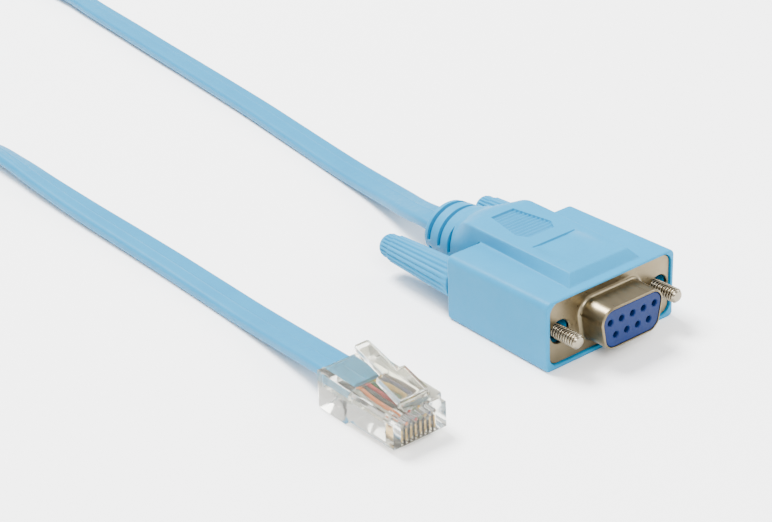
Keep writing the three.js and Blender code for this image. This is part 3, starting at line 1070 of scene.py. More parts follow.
    def between(self, y: Array, start: float, end: float) -> Array:
        """1 from a start to an end along Y and 0 outside them, with a wall's short slope at each."""
        return self.inside(np.abs(y - (start + end) / 2), (end - start) / 2)

    def relief_on_top(self, points: Array) -> Array:
        """Sinks the label's place and the ribbed panel into the hump's top, and raises the panel's ribs.

        Args:
            points: Rows of points in space, which are changed.

        Returns:
            The same points.
        """
        x, y, z = np.abs(points[..., 0]), points[..., 1], points[..., 2]
        label = self.inside(x, self.label_half) * self.between(y, self.label_from, self.label_to)
        panel = self.inside(x, self.rib_half(y)) * self.between(y, self.rib_from, self.rib_to)
        phase = (y - self.rib_from) / (self.rib_to - self.rib_from) * self.rib_count
        rib = np.sin(phase * math.pi) ** 2
        sunk = self.label_depth * label + panel * (self.panel_depth + self.rib_depth * (1 - rib))
        up = z > self.front_height + self.relief_above * self.hump_height
        points[..., 2] = z - sunk * up
        return points

    def skin(self) -> list[Patch]:
        """The whole closed skin, from the seat over the box, the hump and the neck into the cable's hole.

        Returns:
            The patches.
        """
        seat, hole, lead = self.seat_outline, self.hole_outline, self.lead
        turn = np.linspace(0, math.pi / 2, 6)
        rim_inset = self.edge * (1 - np.sin(turn))
        rim_y = -self.rim + self.edge * (1 - np.cos(turn))
        front = at_y(self.outline(rim_y, rim_inset, 0 * turn), rim_y)
        y = self.stations()
        y = y[y < self.length - self.rear_edge - self.row_gap]
        rise = soft_ramp(y, self.hump_front, self.hump_front + self.hump_slope, self.hump_ease)
        body = self.relief_on_top(at_y(self.outline(y, 0 * y, rise), y))
        rear_y = self.length - self.rear_edge + self.rear_edge * np.sin(turn)
        rear_inset = self.rear_edge * (1 - np.cos(turn))
        rear = self.relief_on_top(at_y(self.outline(rear_y, rear_inset, np.ones_like(turn)), rear_y))
        over = self.stations()
        over = over[over > self.length + self.row_gap]
        neck_y = np.concatenate([[self.length, self.length + lead], over, self.neck_stations()])
        loops, places = self.slotted(self.neck(neck_y), neck_y)
        neck = self.relief_on_top(np.stack([loops[..., 0], places, loops[..., 1]], axis=-1))
        end_y = self.relief_end - self.end_edge + self.end_edge * np.sin(turn)
        last = self.neck(np.full(len(turn), self.relief_end - self.end_edge))
        shrink = 1 - self.end_edge * (1 - np.cos(turn)) / self.end_radius
        end = at_y((last - [0, AXIS_Z]) * shrink[:, None, None] + [0, AXIS_Z], end_y)
        return closed(np.concatenate([
            seat(0.0, self.seat_depth), seat(0.0, -self.rim + lead), seat(lead, -self.rim),
            front, body, rear, neck, end,
            hole(lead, self.relief_end), hole(0.0, self.relief_end - lead),
            hole(0.0, self.relief_end - self.cable_hole_depth),
        ]))

    def seat_outline(self, grow: float, y: float) -> Array:
        """One row of the flange's seat, drawn out all round by a length."""
        w, h = self.seat_width / 2 + grow, self.seat_height / 2 + grow
        return self.opening(w, h, self.hump_foot, self.hump_top, self.seat_corner + grow, y)

    def hole_outline(self, grow: float, y: float) -> Array:
        """One row of the cable's hole, drawn out all round by a length."""
        w, h = self.cable_hole[0] / 2 + grow, self.cable_hole[1] / 2 + grow
        return self.opening(w, h, w * 0.6, w * 0.5, self.cable_hole_corner + grow, y)

    def opening(self, w: float, h: float, foot: float, shoulder: float, r: float, y: float) -> Array:
        """A rounded rectangle about the connector's axis, with the same points as the skin.

        Args:
            w: Half its width.
            h: Half its height.
            foot: The X of the points that go over to the hump's foot.
            shoulder: The X of the points that go over to the hump's shoulder.
            r: Its corners' radius.
            y: Its Y.

        Returns:
            One row of points in space.
        """
        across = [-w, w, w, foot, shoulder, -shoulder, -foot, -w]
        up = AXIS_Z + np.array([-h, -h, h, h, h, h, h, h])
        corners = np.stack([across, up], axis=-1)[None]
        radii = np.array([[r, r, r, 0, 0, 0, 0, r]], float)
        at = np.array([y])
        sides = self.sides(at, np.array([shoulder]), np.array([-shoulder]))
        return at_y(rounded_loops(corners, radii, self.arcs(), sides), at)

    def build(self, material: bpy.types.Material, shell: "Shell") -> bpy.types.Object:
        """Makes the hood, and cuts the screws' channels and the connector's pocket through it.

        Args:
            material: Its vinyl.
            shell: The shell, whose outline the pocket has.

        Returns:
            The hood.
        """
        hood = new_object("hood", self.skin())
        cutters = []
        front, rear = -2, self.length + 2
        channel = np.array([[0, front], [self.channel / 2, front], [self.channel / 2, rear], [0, rear]])
        for side in Turn:
            cutters.append([lathe(channel, 40, side.value * SCREW_X, AXIS_Z)])
        outline = shell.d_outline(0.0)
        cutters.append(closed(rings((outline, -1.0), (outline, self.pocket_depth))))
        carve(hood, cutters)
        return dress(hood, material, Body.ROOT, ["db9_hood"], 38.0)


# The nine-way connector


@dataclass
class Shell:
    """The plated steel pressing: a flange with two screw holes, and a D-shaped shell with a rolled lip."""

    width: float = 17.2
    height: float = 8.55
    corner: float = 2.7
    slope: float = 10.0
    wall: float = 0.4
    reach: float = SHELL_REACH
    thickness: float = 0.8
    root: float = 0.75
    lip: float = 0.42
    lip_share: float = 0.8
    flange_width: float = 30.4
    flange_height: float = 12.6
    flange_corner: float = 2.0
    hole: float = 4.6
    edge: float = 0.15
    mouth: float = 0.12

    def d_outline(self, inset: float) -> Array:
        """The D outline, wide at the top, with sides that slope by a fixed angle.

        Args:
            inset: How far it is drawn in all round.

        Returns:
            X and Z pairs.
        """
        lean = math.tan(math.radians(self.slope))
        a, h = self.width / 2, self.height / 2
        reach = self.corner * math.tan(math.radians(90 - self.slope) / 2)
        top_x = a - self.corner + reach
        low_x = top_x - 2 * h * lean
        grow = -inset
        side = grow / math.cos(math.radians(self.slope))
        corners = np.array([[
            [-low_x - side + grow * lean, -h - grow], [low_x + side - grow * lean, -h - grow],
            [top_x + side + grow * lean, h + grow], [-top_x - side - grow * lean, h + grow],
        ]]) + np.array([0.0, AXIS_Z])
        return rounded_loops(corners, np.full((1, 4), self.corner + grow), [12] * 4, [16, 8, 16, 8])[0]

    def build(self, material: bpy.types.Material) -> bpy.types.Object:
        """Makes the shell's tube, lip and root as one grid of D outlines, and the flange as two sheets.

        Args:
            material: The plating.

        Returns:
            The shell.
        """
        turn = np.linspace(0, math.pi / 2, 7)
        front = -self.reach
        inset, y = [self.wall], [self.thickness]
        inset += list(self.wall - self.mouth * (1 - np.cos(turn)))
        y += list(front + self.mouth * (1 - np.sin(turn)))
        inset += list(self.lip * (1 - np.sin(turn)) * self.lip_share)
        y += list(front + self.lip * (1 - np.cos(turn)))
        inset += list(-self.root * (1 - np.cos(turn)))
        y += list(-self.root + self.root * np.sin(turn))
        tube = rings(*[(self.d_outline(i), v) for i, v in zip(inset, y)])
        bead = self.d_outline(-self.root)
        seat = self.d_outline(self.wall)
        holes = [circle(side.value * SCREW_X, AXIS_Z, self.hole / 2, 48) for side in Turn]
        wide = [circle(side.value * SCREW_X, AXIS_Z, self.hole / 2 + self.edge, 48) for side in Turn]
        w, h, r = self.flange_width, self.flange_height, self.flange_corner
        outer = rounded_rectangle(w, h, r, (0, AXIS_Z), arc=8)
        inner = rounded_rectangle(w - 2 * self.edge, h - 2 * self.edge, r - self.edge, (0, AXIS_Z), arc=8)
        patches = [
            grid(tube), plate(inner, [bead, *wide], 0.0), plate(outer, [seat, *holes], self.thickness),
            grid(rings((inner, 0.0), (outer, self.edge), (outer, self.thickness))),
        ]
        for hole, rounded in zip(holes, wide):
            patches.append(grid(rings((rounded, 0.0), (hole, self.edge), (hole, self.thickness))))
        shell = new_object("flange_and_shell", patches)
        return dress(shell, material, Body.ROOT, ["db9_shell"], 40.0)


@dataclass
class Insulator:
    """The blue block inside the shell, with nine chamfered bores and a socket contact in each."""

    depth: float = 9.0
    clearance: float = 0.08
    recess: float = 0.12
    pitch: float = 2.77
    row: float = 2.84
    mouth: float = 1.25
    chamfer: float = 0.16
    lip: float = 0.8
    bore: float = 1.7
    edge: float = 0.15
    sides: int = 28
    contact_start: float = 0.5
    contact_outer: float = 1.5
    contact_bore: float = 1.02
    contact_length: float = 7.4
    contact_step: float = 0.1
    contact_edge: float = 0.06
    contact_mouth: float = 0.2
    contact_groove: tuple = (4.2, 4.3, 4.7, 4.8)
    contact_floor: tuple = (1.5, 1.8)

    def places(self) -> list[tuple[float, float]]:
        """The bores' centres: five above, four below.

        Returns:
            The X and Z of each.
        """
        upper = [((i - 2) * self.pitch, AXIS_Z + self.row / 2) for i in range(5)]
        lower = [((i - 1.5) * self.pitch, AXIS_Z - self.row / 2) for i in range(4)]
        return upper + lower

    def build(self, shell: Shell, block: bpy.types.Material, gold: bpy.types.Material) -> None:
        """Makes the block between two perforated faces, then the contacts.

        Args:
            shell: The shell that it fills.
            block: The block's plastic.
            gold: The contacts' gold.
        """
        front = -shell.reach + self.recess
        back = -shell.reach + self.depth
        outline = shell.d_outline(shell.wall + self.clearance)
        inner = shell.d_outline(shell.wall + self.clearance + self.edge)
        walls = rings((inner, front), (outline, front + self.edge), (outline, back))
        mouths = [circle(x, z, self.mouth / 2 + self.chamfer, self.sides) for x, z in self.places()]
        rears = [circle(x, z, self.bore / 2, self.sides) for x, z in self.places()]
        patches = [grid(walls), plate(inner, mouths, front), plate(outline, rears, back)]
        r = self.mouth / 2
        step = front + self.lip
        profile = np.array([
            [r + self.chamfer, front], [r, front + self.chamfer], [r, step], [self.bore / 2, step],
            [self.bore / 2, back],
        ])
        for x, z in self.places():
            patches.append(lathe(profile, self.sides, x, z))
        dress(new_object("insulator_block", patches), block, Body.ROOT, ["db9_insulator"])
        profile = self.contact_profile(-shell.reach + self.lip + self.contact_start)
        for number, (x, z) in enumerate(self.places(), 1):
            contact = new_object(f"socket_contact_{number}", [lathe(profile, 20, x, z)])
            dress(contact, gold, Body.ROOT, [f"contact_socket_{number}"])

    def contact_profile(self, start: float) -> Array:
        """A contact's radius and Y pairs: out of its blind bore, round its mouth and back over its groove.

        Args:
            start: The Y of its mouth.

        Returns:
            The pairs.
        """
        end = start + self.contact_length
        r, o = self.contact_bore / 2, self.contact_outer / 2
        step, edge = self.contact_step, self.contact_edge
        middle, rim = self.contact_floor
        bore = [[0, end - middle], [r, end - rim], [r, start + self.contact_mouth]]
        mouth = [[r + step, start], [o - edge, start], [o, start + edge]]
        groove = [[radius, start + y] for radius, y in zip((o, o - step, o - step, o), self.contact_groove)]
        rear = [[o, end - step], [o - step, end], [0, end]]
        return np.array(bore + mouth + groove + rear)


# The thumbscrews


@dataclass
class Thumbscrew:
    """One jackscrew in its ribbed grip. It lies low in its hole and hangs down a little to the rear."""

    side: Turn
    diameter: float = 2.84
    thread_pitch: float = 0.635
    thread_depth: float = 0.34
    thread_length: float = 9.0
    tip: float = 5.05
    chamfer: float = 0.45
    drop: float = 0.25
    droop: float = 1.0
    grip_from: float = 27.4
    into_grip: float = 14.0
    front_radius: float = 3.6
    rear_radius: float = 2.85
    body: float = 19.1
    tip_length: float = 3.2
    tip_radius: float = 2.5
    ribs: int = 20
    rib_depth: float = 0.3
    rib_power: float = 1.6
    rib_start: tuple = (0.1, 0.7)
    rib_end: tuple = (1.1, 0.3)
    grip_edge: float = 0.25
    nose_radius: float = 1.25
    nose_length: float = 1.5
    bore_clearance: float = 0.12
    bore_mouth: float = 0.2
    bore_point: float = 0.3
    thread_fade: float = 1.2
    thread_steepness: float = 0.75
    tip_flat: float = 0.4
    tip_rounding: float = 0.93

    @property
    def word(self) -> str:
        """The side, as the names of pieces have it."""
        return self.side.name.lower()

    def placed(self, patches: list[Patch]) -> list[Patch]:
        """Tips patches down about X by the droop, and moves them onto the screw's axis.

        Args:
            patches: Patches about the Y axis.

        Returns:
            The patches in place.
        """
        a = -math.radians(self.droop)
        made = []
        for patch in patches:
            x, y, z = patch.points.T
            across = x + self.side.value * SCREW_X
            along = y * math.cos(a) - z * math.sin(a)
            up = y * math.sin(a) + z * math.cos(a) + AXIS_Z - self.drop
            made.append(Patch(np.stack([across, along, up], axis=1), patch.faces))
        return made

    def screw(self) -> list[Patch]:
        """The screw, with a rolled thread.

        The radius is a flattened cosine of an angle: a full turn for each pitch along the screw, less the
        angle round it.

        Returns:
            The patches, about the Y axis.
        """
        sides = 36
        end = self.grip_from + self.into_grip
        thread_end = -self.tip + self.thread_length
        y = np.concatenate([
            np.linspace(-self.tip + 0.02, thread_end, 220), np.linspace(thread_end + 0.3, end, 12),
        ])
        angle = np.linspace(0, 2 * math.pi, sides, endpoint=False)
        wave = np.cos(2 * math.pi * (y[:, None] / self.thread_pitch) - angle[None, :])
        tooth = np.clip(0.5 + self.thread_steepness * wave, 0, 1)
        fade = 1 - soft_step(y, thread_end - self.thread_fade, thread_end)
        r = self.diameter / 2 - self.thread_depth * (1 - tooth) * fade[:, None]
        point = self.diameter / 2 - self.chamfer + (y + self.tip)
        r = np.minimum(r, np.maximum(point, self.tip_flat)[:, None])
        points = around(r, y, angle)
        first = points[0].copy()
        first[:, [0, 2]] *= self.tip_rounding
        first[:, 1] = -self.tip
        return closed(np.concatenate([first[None], points]))

    def grip(self) -> list[Patch]:
        """A tapered barrel and a round tip, with grooves along them, and the screw's blind bore.

        The outside's radius is the profile's, less the grooves' depth times a cosine wave round the grip that
        is raised to a power.

        Returns:
            The patches, about the Y axis.
        """
        sides = self.ribs * 8
        angle = np.linspace(0, 2 * math.pi, sides, endpoint=False)
        step = self.grip_from + self.body
        end = step + self.tip_length
        bore = self.diameter / 2 + self.bore_clearance
        floor = self.grip_from + self.into_grip + self.bore_point
        inner = np.array([
            [0.0, floor], [bore, floor - self.bore_point], [bore, self.grip_from + self.bore_mouth],
            [bore + self.bore_mouth, self.grip_from], [self.front_radius - 0.3, self.grip_from],
        ])
        edge = np.linspace(0, math.pi / 2, 5)
        face = np.stack([
            self.front_radius - self.grip_edge * (1 - np.sin(edge)),
            self.grip_from + self.grip_edge * (1 - np.cos(edge)),
        ], axis=1)
        barrel = np.stack([
            np.linspace(self.front_radius, self.rear_radius, 12),
            np.linspace(self.grip_from + 0.4, step - 0.35, 12),
        ], axis=1)[1:]
        shoulder = np.array([
            [self.rear_radius - 0.03, step - 0.18], [self.rear_radius - 0.14, step - 0.03],
            [self.tip_radius + 0.06, step], [self.tip_radius, step + 0.08],
        ])
        bend = np.linspace(0, math.pi / 2, 9)
        nose = np.stack([
            self.tip_radius - self.nose_radius * (1 - np.cos(bend)),
            end - self.nose_length + self.nose_length * np.sin(bend),
        ], axis=1)
        profile = np.concatenate([inner, face, barrel, shoulder, nose, [[0.0, end + 0.02]]])
        r, y = profile.T
        ribbed = soft_step(y, self.grip_from + self.rib_start[0], self.grip_from + self.rib_start[1])
        ribbed = ribbed * (1 - soft_step(y, end - self.rib_end[0], end - self.rib_end[1]))
        ribbed = np.where(np.arange(len(r)) < len(inner), 0.0, ribbed)
        wave = 0.5 + 0.5 * np.cos(angle * self.ribs)
        radius = r[:, None] - self.rib_depth * ribbed[:, None] * (wave ** self.rib_power)[None, :]
        return [grid(around(radius, y, angle))]

    def build(self, metal: bpy.types.Material, vinyl: bpy.types.Material) -> None:
        """Makes the screw and its grip.

        Args:
            metal: The screw's plating.
            vinyl: The grip's vinyl.
        """
        body = Body[self.side.name]
        screw = new_object(f"screw_{self.word}", self.placed(self.screw()))
        dress(screw, metal, body, [f"jackscrew_{self.word}"], 60.0)
        grip = new_object(f"grip_{self.word}", self.placed(self.grip()))
        dress(grip, vinyl, body, [f"thumb_grip_{self.word}"], 50.0)


# The modular plug


def block(low: tuple, high: tuple) -> list[Patch]:
    """A closed box.

    Args:
        low: Its corner with the least X, Y and Z.
        high: The corner across from it.

    Returns:
        The patches.
    """
    (x0, y0, z0), (x1, y1, z1) = low, high
    loop = np.array([[x0, z0], [x1, z0], [x1, z1], [x0, z1]])
    return closed(rings((loop, y0), (loop, y1)))


@dataclass
class Plug:
    """The clear eight-way plug: its housing, its latch, eight gold blades and eight cores.

    Its own coordinates start at the middle of its nose, on the floor.
    """

    x: float = -47.5
    nose: float = -2.9
    width: float = 11.68
    length: float = 21.15
    step: float = 13.5
    underside: float = 1.14
    front_top: float = 7.46
    rear_top: float = 7.7
    wall: float = 1.2
    edge: float = 0.22
    jacket_end: float = 14.0
    jacket: tuple = (7.1, 2.6)
    core_z: float = 4.95
    core_pitch: float = 1.02
    core_radius: float = 0.41
    core_front: float = 0.75
    core_gap: float = 0.04
    core_sides: int = 16
    squeeze: float = 0.18
    squeeze_along: tuple = (8.5, 14.2)
    blade_thickness: float = 0.35
    blade_from: float = 0.9
    blade_to: float = 3.8
    blade_bottom: float = 1.6
    blade_top: float = 4.2
    blade_gap: float = 0.06
    tine: float = 0.45
    notch: float = 1.0
    notch_drop: float = 1.2
    comb_from: float = 4.2
    comb_half: float = 0.46
    lever: float = 3.25
    shoulders: float = 6.2
    shoulder_length: float = 6.4
    hinge: tuple = (1.9, 7.9)
    rise: float = 18.5
    lever_length: float = 14.8
    lever_root: float = 1.7
    lever_tip: float = 0.8
    foot: tuple = ((2.3, 8.05), (1.75, 9.1), (1.1, 8.75))
    foot_radii: tuple = (0.0, 0.1, 0.15, 0.3, 0.5)
    foot_edge: tuple = (0.12, 0.035)

    def placed(self, patches: list[Patch]) -> list[Patch]:
        """Moves patches from the plug's own coordinates to its place."""
        return [Patch(p.points + np.array([self.x, self.nose, 0.0]), p.faces) for p in patches]

    def core_places(self) -> Array:
        """The X of each core and blade."""
        return (np.arange(8) - 3.5) * self.core_pitch

    def housing(self, material: bpy.types.Material) -> bpy.types.Object:
        """The housing: a stepped bar with rounded edges, cut for the cable, cores, blades and key notches.

        Args:
            material: The clear plastic.

        Returns:
            The housing.
        """
        half = self.width / 2
        side = np.array([
            [0, self.underside], [self.step - 1, self.underside], [self.step, 0], [self.length, 0],
            [self.length, self.rear_top], [0, self.front_top],
        ])
        rows = np.stack([np.insert(side, 0, x, axis=1) for x in (-half, half)])
        body = new_object("clear_housing", self.placed(closed(rows)))
        notch = half - self.notch
        low = self.front_top - self.notch_drop
        cutters = [
            block((-half - 1, -1, low), (-notch, self.wall, 9.0)),
            block((notch, -1, low), (half + 1, self.wall, 9.0)),
        ]
        carve(body, [self.placed(c) for c in cutters])
        bevel(body, self.edge, 3, 25.0)
        w, h = self.jacket[0] / 2, self.jacket[1] / 2
        z = self.core_z
        comb, rise = 4 * self.core_pitch, self.comb_half
        cutters = [
            block((-w, self.jacket_end - 1, z - h), (w, self.length + 1, z + h)),
            block((-comb, self.comb_from, z - rise), (comb, self.jacket_end - 0.5, z + rise)),
        ]
        r = self.core_radius + 0.05
        front, rear = self.core_front - 0.1, self.comb_from + 0.4
        tunnel = np.array([[0, rear], [r, rear], [r, front], [0, front]])
        gap = self.blade_gap
        t = self.blade_thickness / 2 + gap
        for x in self.core_places():
            cutters.append([lathe(tunnel, 20, x, z)])
            cutters.append(block((x - t, self.blade_from - gap, 0.0), (x + t, self.blade_to + gap, z)))
        carve(body, [self.placed(c) for c in cutters])
        return dress(body, material, Body.ROOT, ["plug_housing"], 28.0)

    def latch(self, material: bpy.types.Material) -> bpy.types.Object:
        """The latch: wide shoulders that narrow to a lever, thinner towards its rounded free end.

        A point at distance s and lift v is at the hinge plus (s cos a - v sin a, s sin a + v cos a).

        Args:
            material: The clear plastic.

        Returns:
            The latch.
        """
        n, end = self.shoulder_length, self.lever_length
        wide, narrow = self.shoulders / 2, self.lever / 2
        corner, tip = 0.25, 0.6
        bend = np.linspace(0, math.pi / 2, 7)
        stretches = [
            ([0.0, 0.12, 0.3], [wide - 0.15, wide - 0.03, wide]),
            (np.linspace(0.8, n - 0.3, 6), np.full(6, wide)),
            (n - corner + corner * np.sin(bend), wide - corner * (1 - np.cos(bend))),
            ([n + 0.03, n + 0.06], [narrow + corner, narrow]),
            (np.linspace(n + 0.5, end - 0.7, 9), np.full(9, narrow)),
            (end - tip + tip * np.sin(bend), narrow - tip * (1 - np.cos(bend))),
        ]
        s, half = np.concatenate([np.array(pair) for pair in stretches], axis=1)
        thick = self.lever_root + (self.lever_tip - self.lever_root) * s / self.lever_length
        inset = np.zeros_like(s)
        inset[:2] = [0.14, 0.04]
        inset[-3:] = [0.04, 0.10, 0.2]
        low, high = inset, thick - inset
        across = np.stack([-half, half, half, -half], axis=1)
        up = np.stack([low, low, high, high], axis=1)
        corners = np.stack([across, up], axis=-1)
        radii = np.repeat(np.minimum(0.16, (high - low) * 0.3)[:, None], 4, axis=1)
        loops = rounded_loops(corners, radii, [4] * 4, [6, 1, 6, 1])
        a = math.radians(self.rise)
        y = self.hinge[0] + s[:, None] * math.cos(a) - loops[..., 1] * math.sin(a)
        z = self.hinge[1] + s[:, None] * math.sin(a) + loops[..., 1] * math.cos(a)
        rows = np.stack([loops[..., 0], y, z], axis=-1)
        piece = new_object("clear_latch", self.placed(closed(rows)))
        return dress(piece, material, Body.LATCH, ["plug_latch"], 40.0)

    def root(self, material: bpy.types.Material) -> bpy.types.Object:
        """The latch's foot: a rounded bar on the housing's top, in front of and under the hinge.

        Args:
            material: The clear plastic.

        Returns:
            The foot.
        """
        half = self.shoulders / 2
        low = self.front_top - 0.02
        corners = np.array([(0.55, low), (2.3, low), *self.foot])[None]
        loop = rounded_loops(corners, np.array([self.foot_radii]), [1, 2, 3, 4, 5], [1] * 5)[0]
        far, near = self.foot_edge
        inset = np.array([far, near, 0.0, 0.0, near, far])
        x = np.array([-half, -half + near, -half + far, half - far, half - near, half])
        piece = new_object("latch_foot", self.placed(self.slab(loop, x, 1 - inset / 0.9)))
        return dress(piece, material, Body.ROOT, [], 40.0)

    @staticmethod
    def slab(loop: Array, x: Array, shrink: Array) -> list[Patch]:
        """A closed slab across X, whose outline is drawn in towards its middle near its two faces.

        Args:
            loop: Its outline, as Y and Z pairs.
            x: The X of each row.
            shrink: The outline's size at each row.

        Returns:
            The patches.
        """
        middle = loop.mean(axis=0)
        rows = middle + (loop - middle)[None] * shrink[:, None, None]
        across = np.broadcast_to(x[:, None], rows.shape[:2])
        return closed(np.stack([across, rows[..., 0], rows[..., 1]], axis=-1))

    def blades(self, material: bpy.types.Material) -> list[bpy.types.Object]:
        """The blades: flat gold plates with a rounded front and two tines that reach up into the core.

        Args:
            material: The gold.

        Returns:
            The blades.
        """
        made = []
        start, end, bottom, top = self.blade_from, self.blade_to, self.blade_bottom, self.blade_top
        point, neck = top + self.tine, top - 0.25
        outline = np.array([
            [start + 0.3, bottom], [end - 0.15, bottom], [end, bottom + 0.15], [end, top],
            [end - 0.3, point], [end - 0.6, neck], [start + 1.5, neck],
            [start + 1.2, point], [start + 0.9, neck], [start, neck],
            [start, bottom + 0.3], [start + 0.09, bottom + 0.09],
        ])
        half, inset = self.blade_thickness / 2, 0.05
        shrink = 1 - np.array([inset, 0.0, 0.0, inset]) / 1.6
        for number, x in enumerate(self.core_places(), 1):
            place = x + np.array([-half, -half + inset, half - inset, half])
            blade = new_object(f"blade_{number}", self.placed(self.slab(outline, place, shrink)))
            made.append(dress(blade, material, Body.ROOT, [f"plug_contact_{number}"], 30.0))
        return made

    def cores(self) -> list[bpy.types.Object]:
        """The eight cores, from the nose back to the jacket, where they draw closer together.

        Returns:
            The cores.
        """
        made = []
        y = np.linspace(self.core_front, self.jacket_end + 0.3, 40)
        squeeze = 1 - self.squeeze * soft_step(y, *self.squeeze_along)
        angle = np.linspace(0, 2 * math.pi, self.core_sides, endpoint=False)
        r = (self.core_radius - self.core_gap) * np.minimum(1.0, 0.85 + (y - y[0]) / 0.3 * 0.15)
        for number, (x, (name, colour)) in enumerate(zip(self.core_places(), CORE_FINISHES.items()), 1):
            rows = np.stack([
                x * squeeze[:, None] + r[:, None] * np.cos(angle),
                np.broadcast_to(y[:, None], (len(y), self.core_sides)),
                self.core_z + r[:, None] * np.sin(angle),
            ], axis=-1)
            core = new_object(f"core_{number}", self.placed(closed(rows)))
            finish = SoftVinyl(name, light=colour, dark=tuple(c * 0.86 for c in colour), roughness=0.35)
            made.append(dress(core, finish.build(), Body.ROOT, [f"wire_{number}"], 50.0))
        return made

    def build(self, clear: bpy.types.Material, gold: bpy.types.Material) -> list[bpy.types.Object]:
        """Makes the whole plug.

        Args:
            clear: The clear plastic.
            gold: The blades' gold.

        Returns:
            Its pieces.
        """
        pieces = [self.housing(clear), self.latch(clear), self.root(clear)]
        return pieces + self.blades(gold) + self.cores()


# The cable


def route(points: list, spacing: float = 0.5) -> Array:
    """A centripetal Catmull-Rom curve through a list of points, at even steps.

    Each stretch's parameter grows with the square root of its chord, and past each end the curve is led by
    the end's own chord, mirrored.

    Args:
        points: The points that the curve passes through.
        spacing: The step along the curve.

    Returns:
        Points in space.
    """
    p = np.asarray(points, float)
    p = np.concatenate([[2 * p[0] - p[1]], p, [2 * p[-1] - p[-2]]])
    knot = np.concatenate([[0], np.cumsum(np.linalg.norm(np.diff(p, axis=0), axis=1) ** 0.5)])
    t = np.concatenate([np.linspace(knot[i], knot[i + 1], 40, endpoint=False) for i in range(1, len(p) - 2)])
    t = np.append(t, knot[-2])
    i = np.clip(np.searchsorted(knot, t, side="right") - 1, 1, len(p) - 3)
    k0, k1, k2, k3 = (knot[i + d][:, None] for d in (-1, 0, 1, 2))
    q0, q1, q2, q3 = (p[i + d] for d in (-1, 0, 1, 2))
    t = t[:, None]
    a1 = (k1 - t) / (k1 - k0) * q0 + (t - k0) / (k1 - k0) * q1
    a2 = (k2 - t) / (k2 - k1) * q1 + (t - k1) / (k2 - k1) * q2
    a3 = (k3 - t) / (k3 - k2) * q2 + (t - k2) / (k3 - k2) * q3
    b1 = (k2 - t) / (k2 - k0) * a1 + (t - k0) / (k2 - k0) * a2
    b2 = (k3 - t) / (k3 - k1) * a2 + (t - k1) / (k3 - k1) * a3
    return evenly((k2 - t) / (k2 - k1) * b1 + (t - k1) / (k2 - k1) * b2, spacing)


def lengths(path: Array) -> Array:
    """The distance along a path to each of its points."""
    return np.concatenate([[0], np.cumsum(np.linalg.norm(np.diff(path, axis=0), axis=1))])


def evenly(path: Array, spacing: float) -> Array:
    """The same path with points at even steps.

    Args:
        path: Points in space.
        spacing: The step, which is rounded so that whole steps fit the path.

    Returns:
        Points in space.
    """
    far = lengths(path)
    at = np.linspace(0, far[-1], max(2, int(round(far[-1] / spacing)) + 1))
    return np.stack([np.interp(at, far, path[:, k]) for k in range(3)], axis=1)


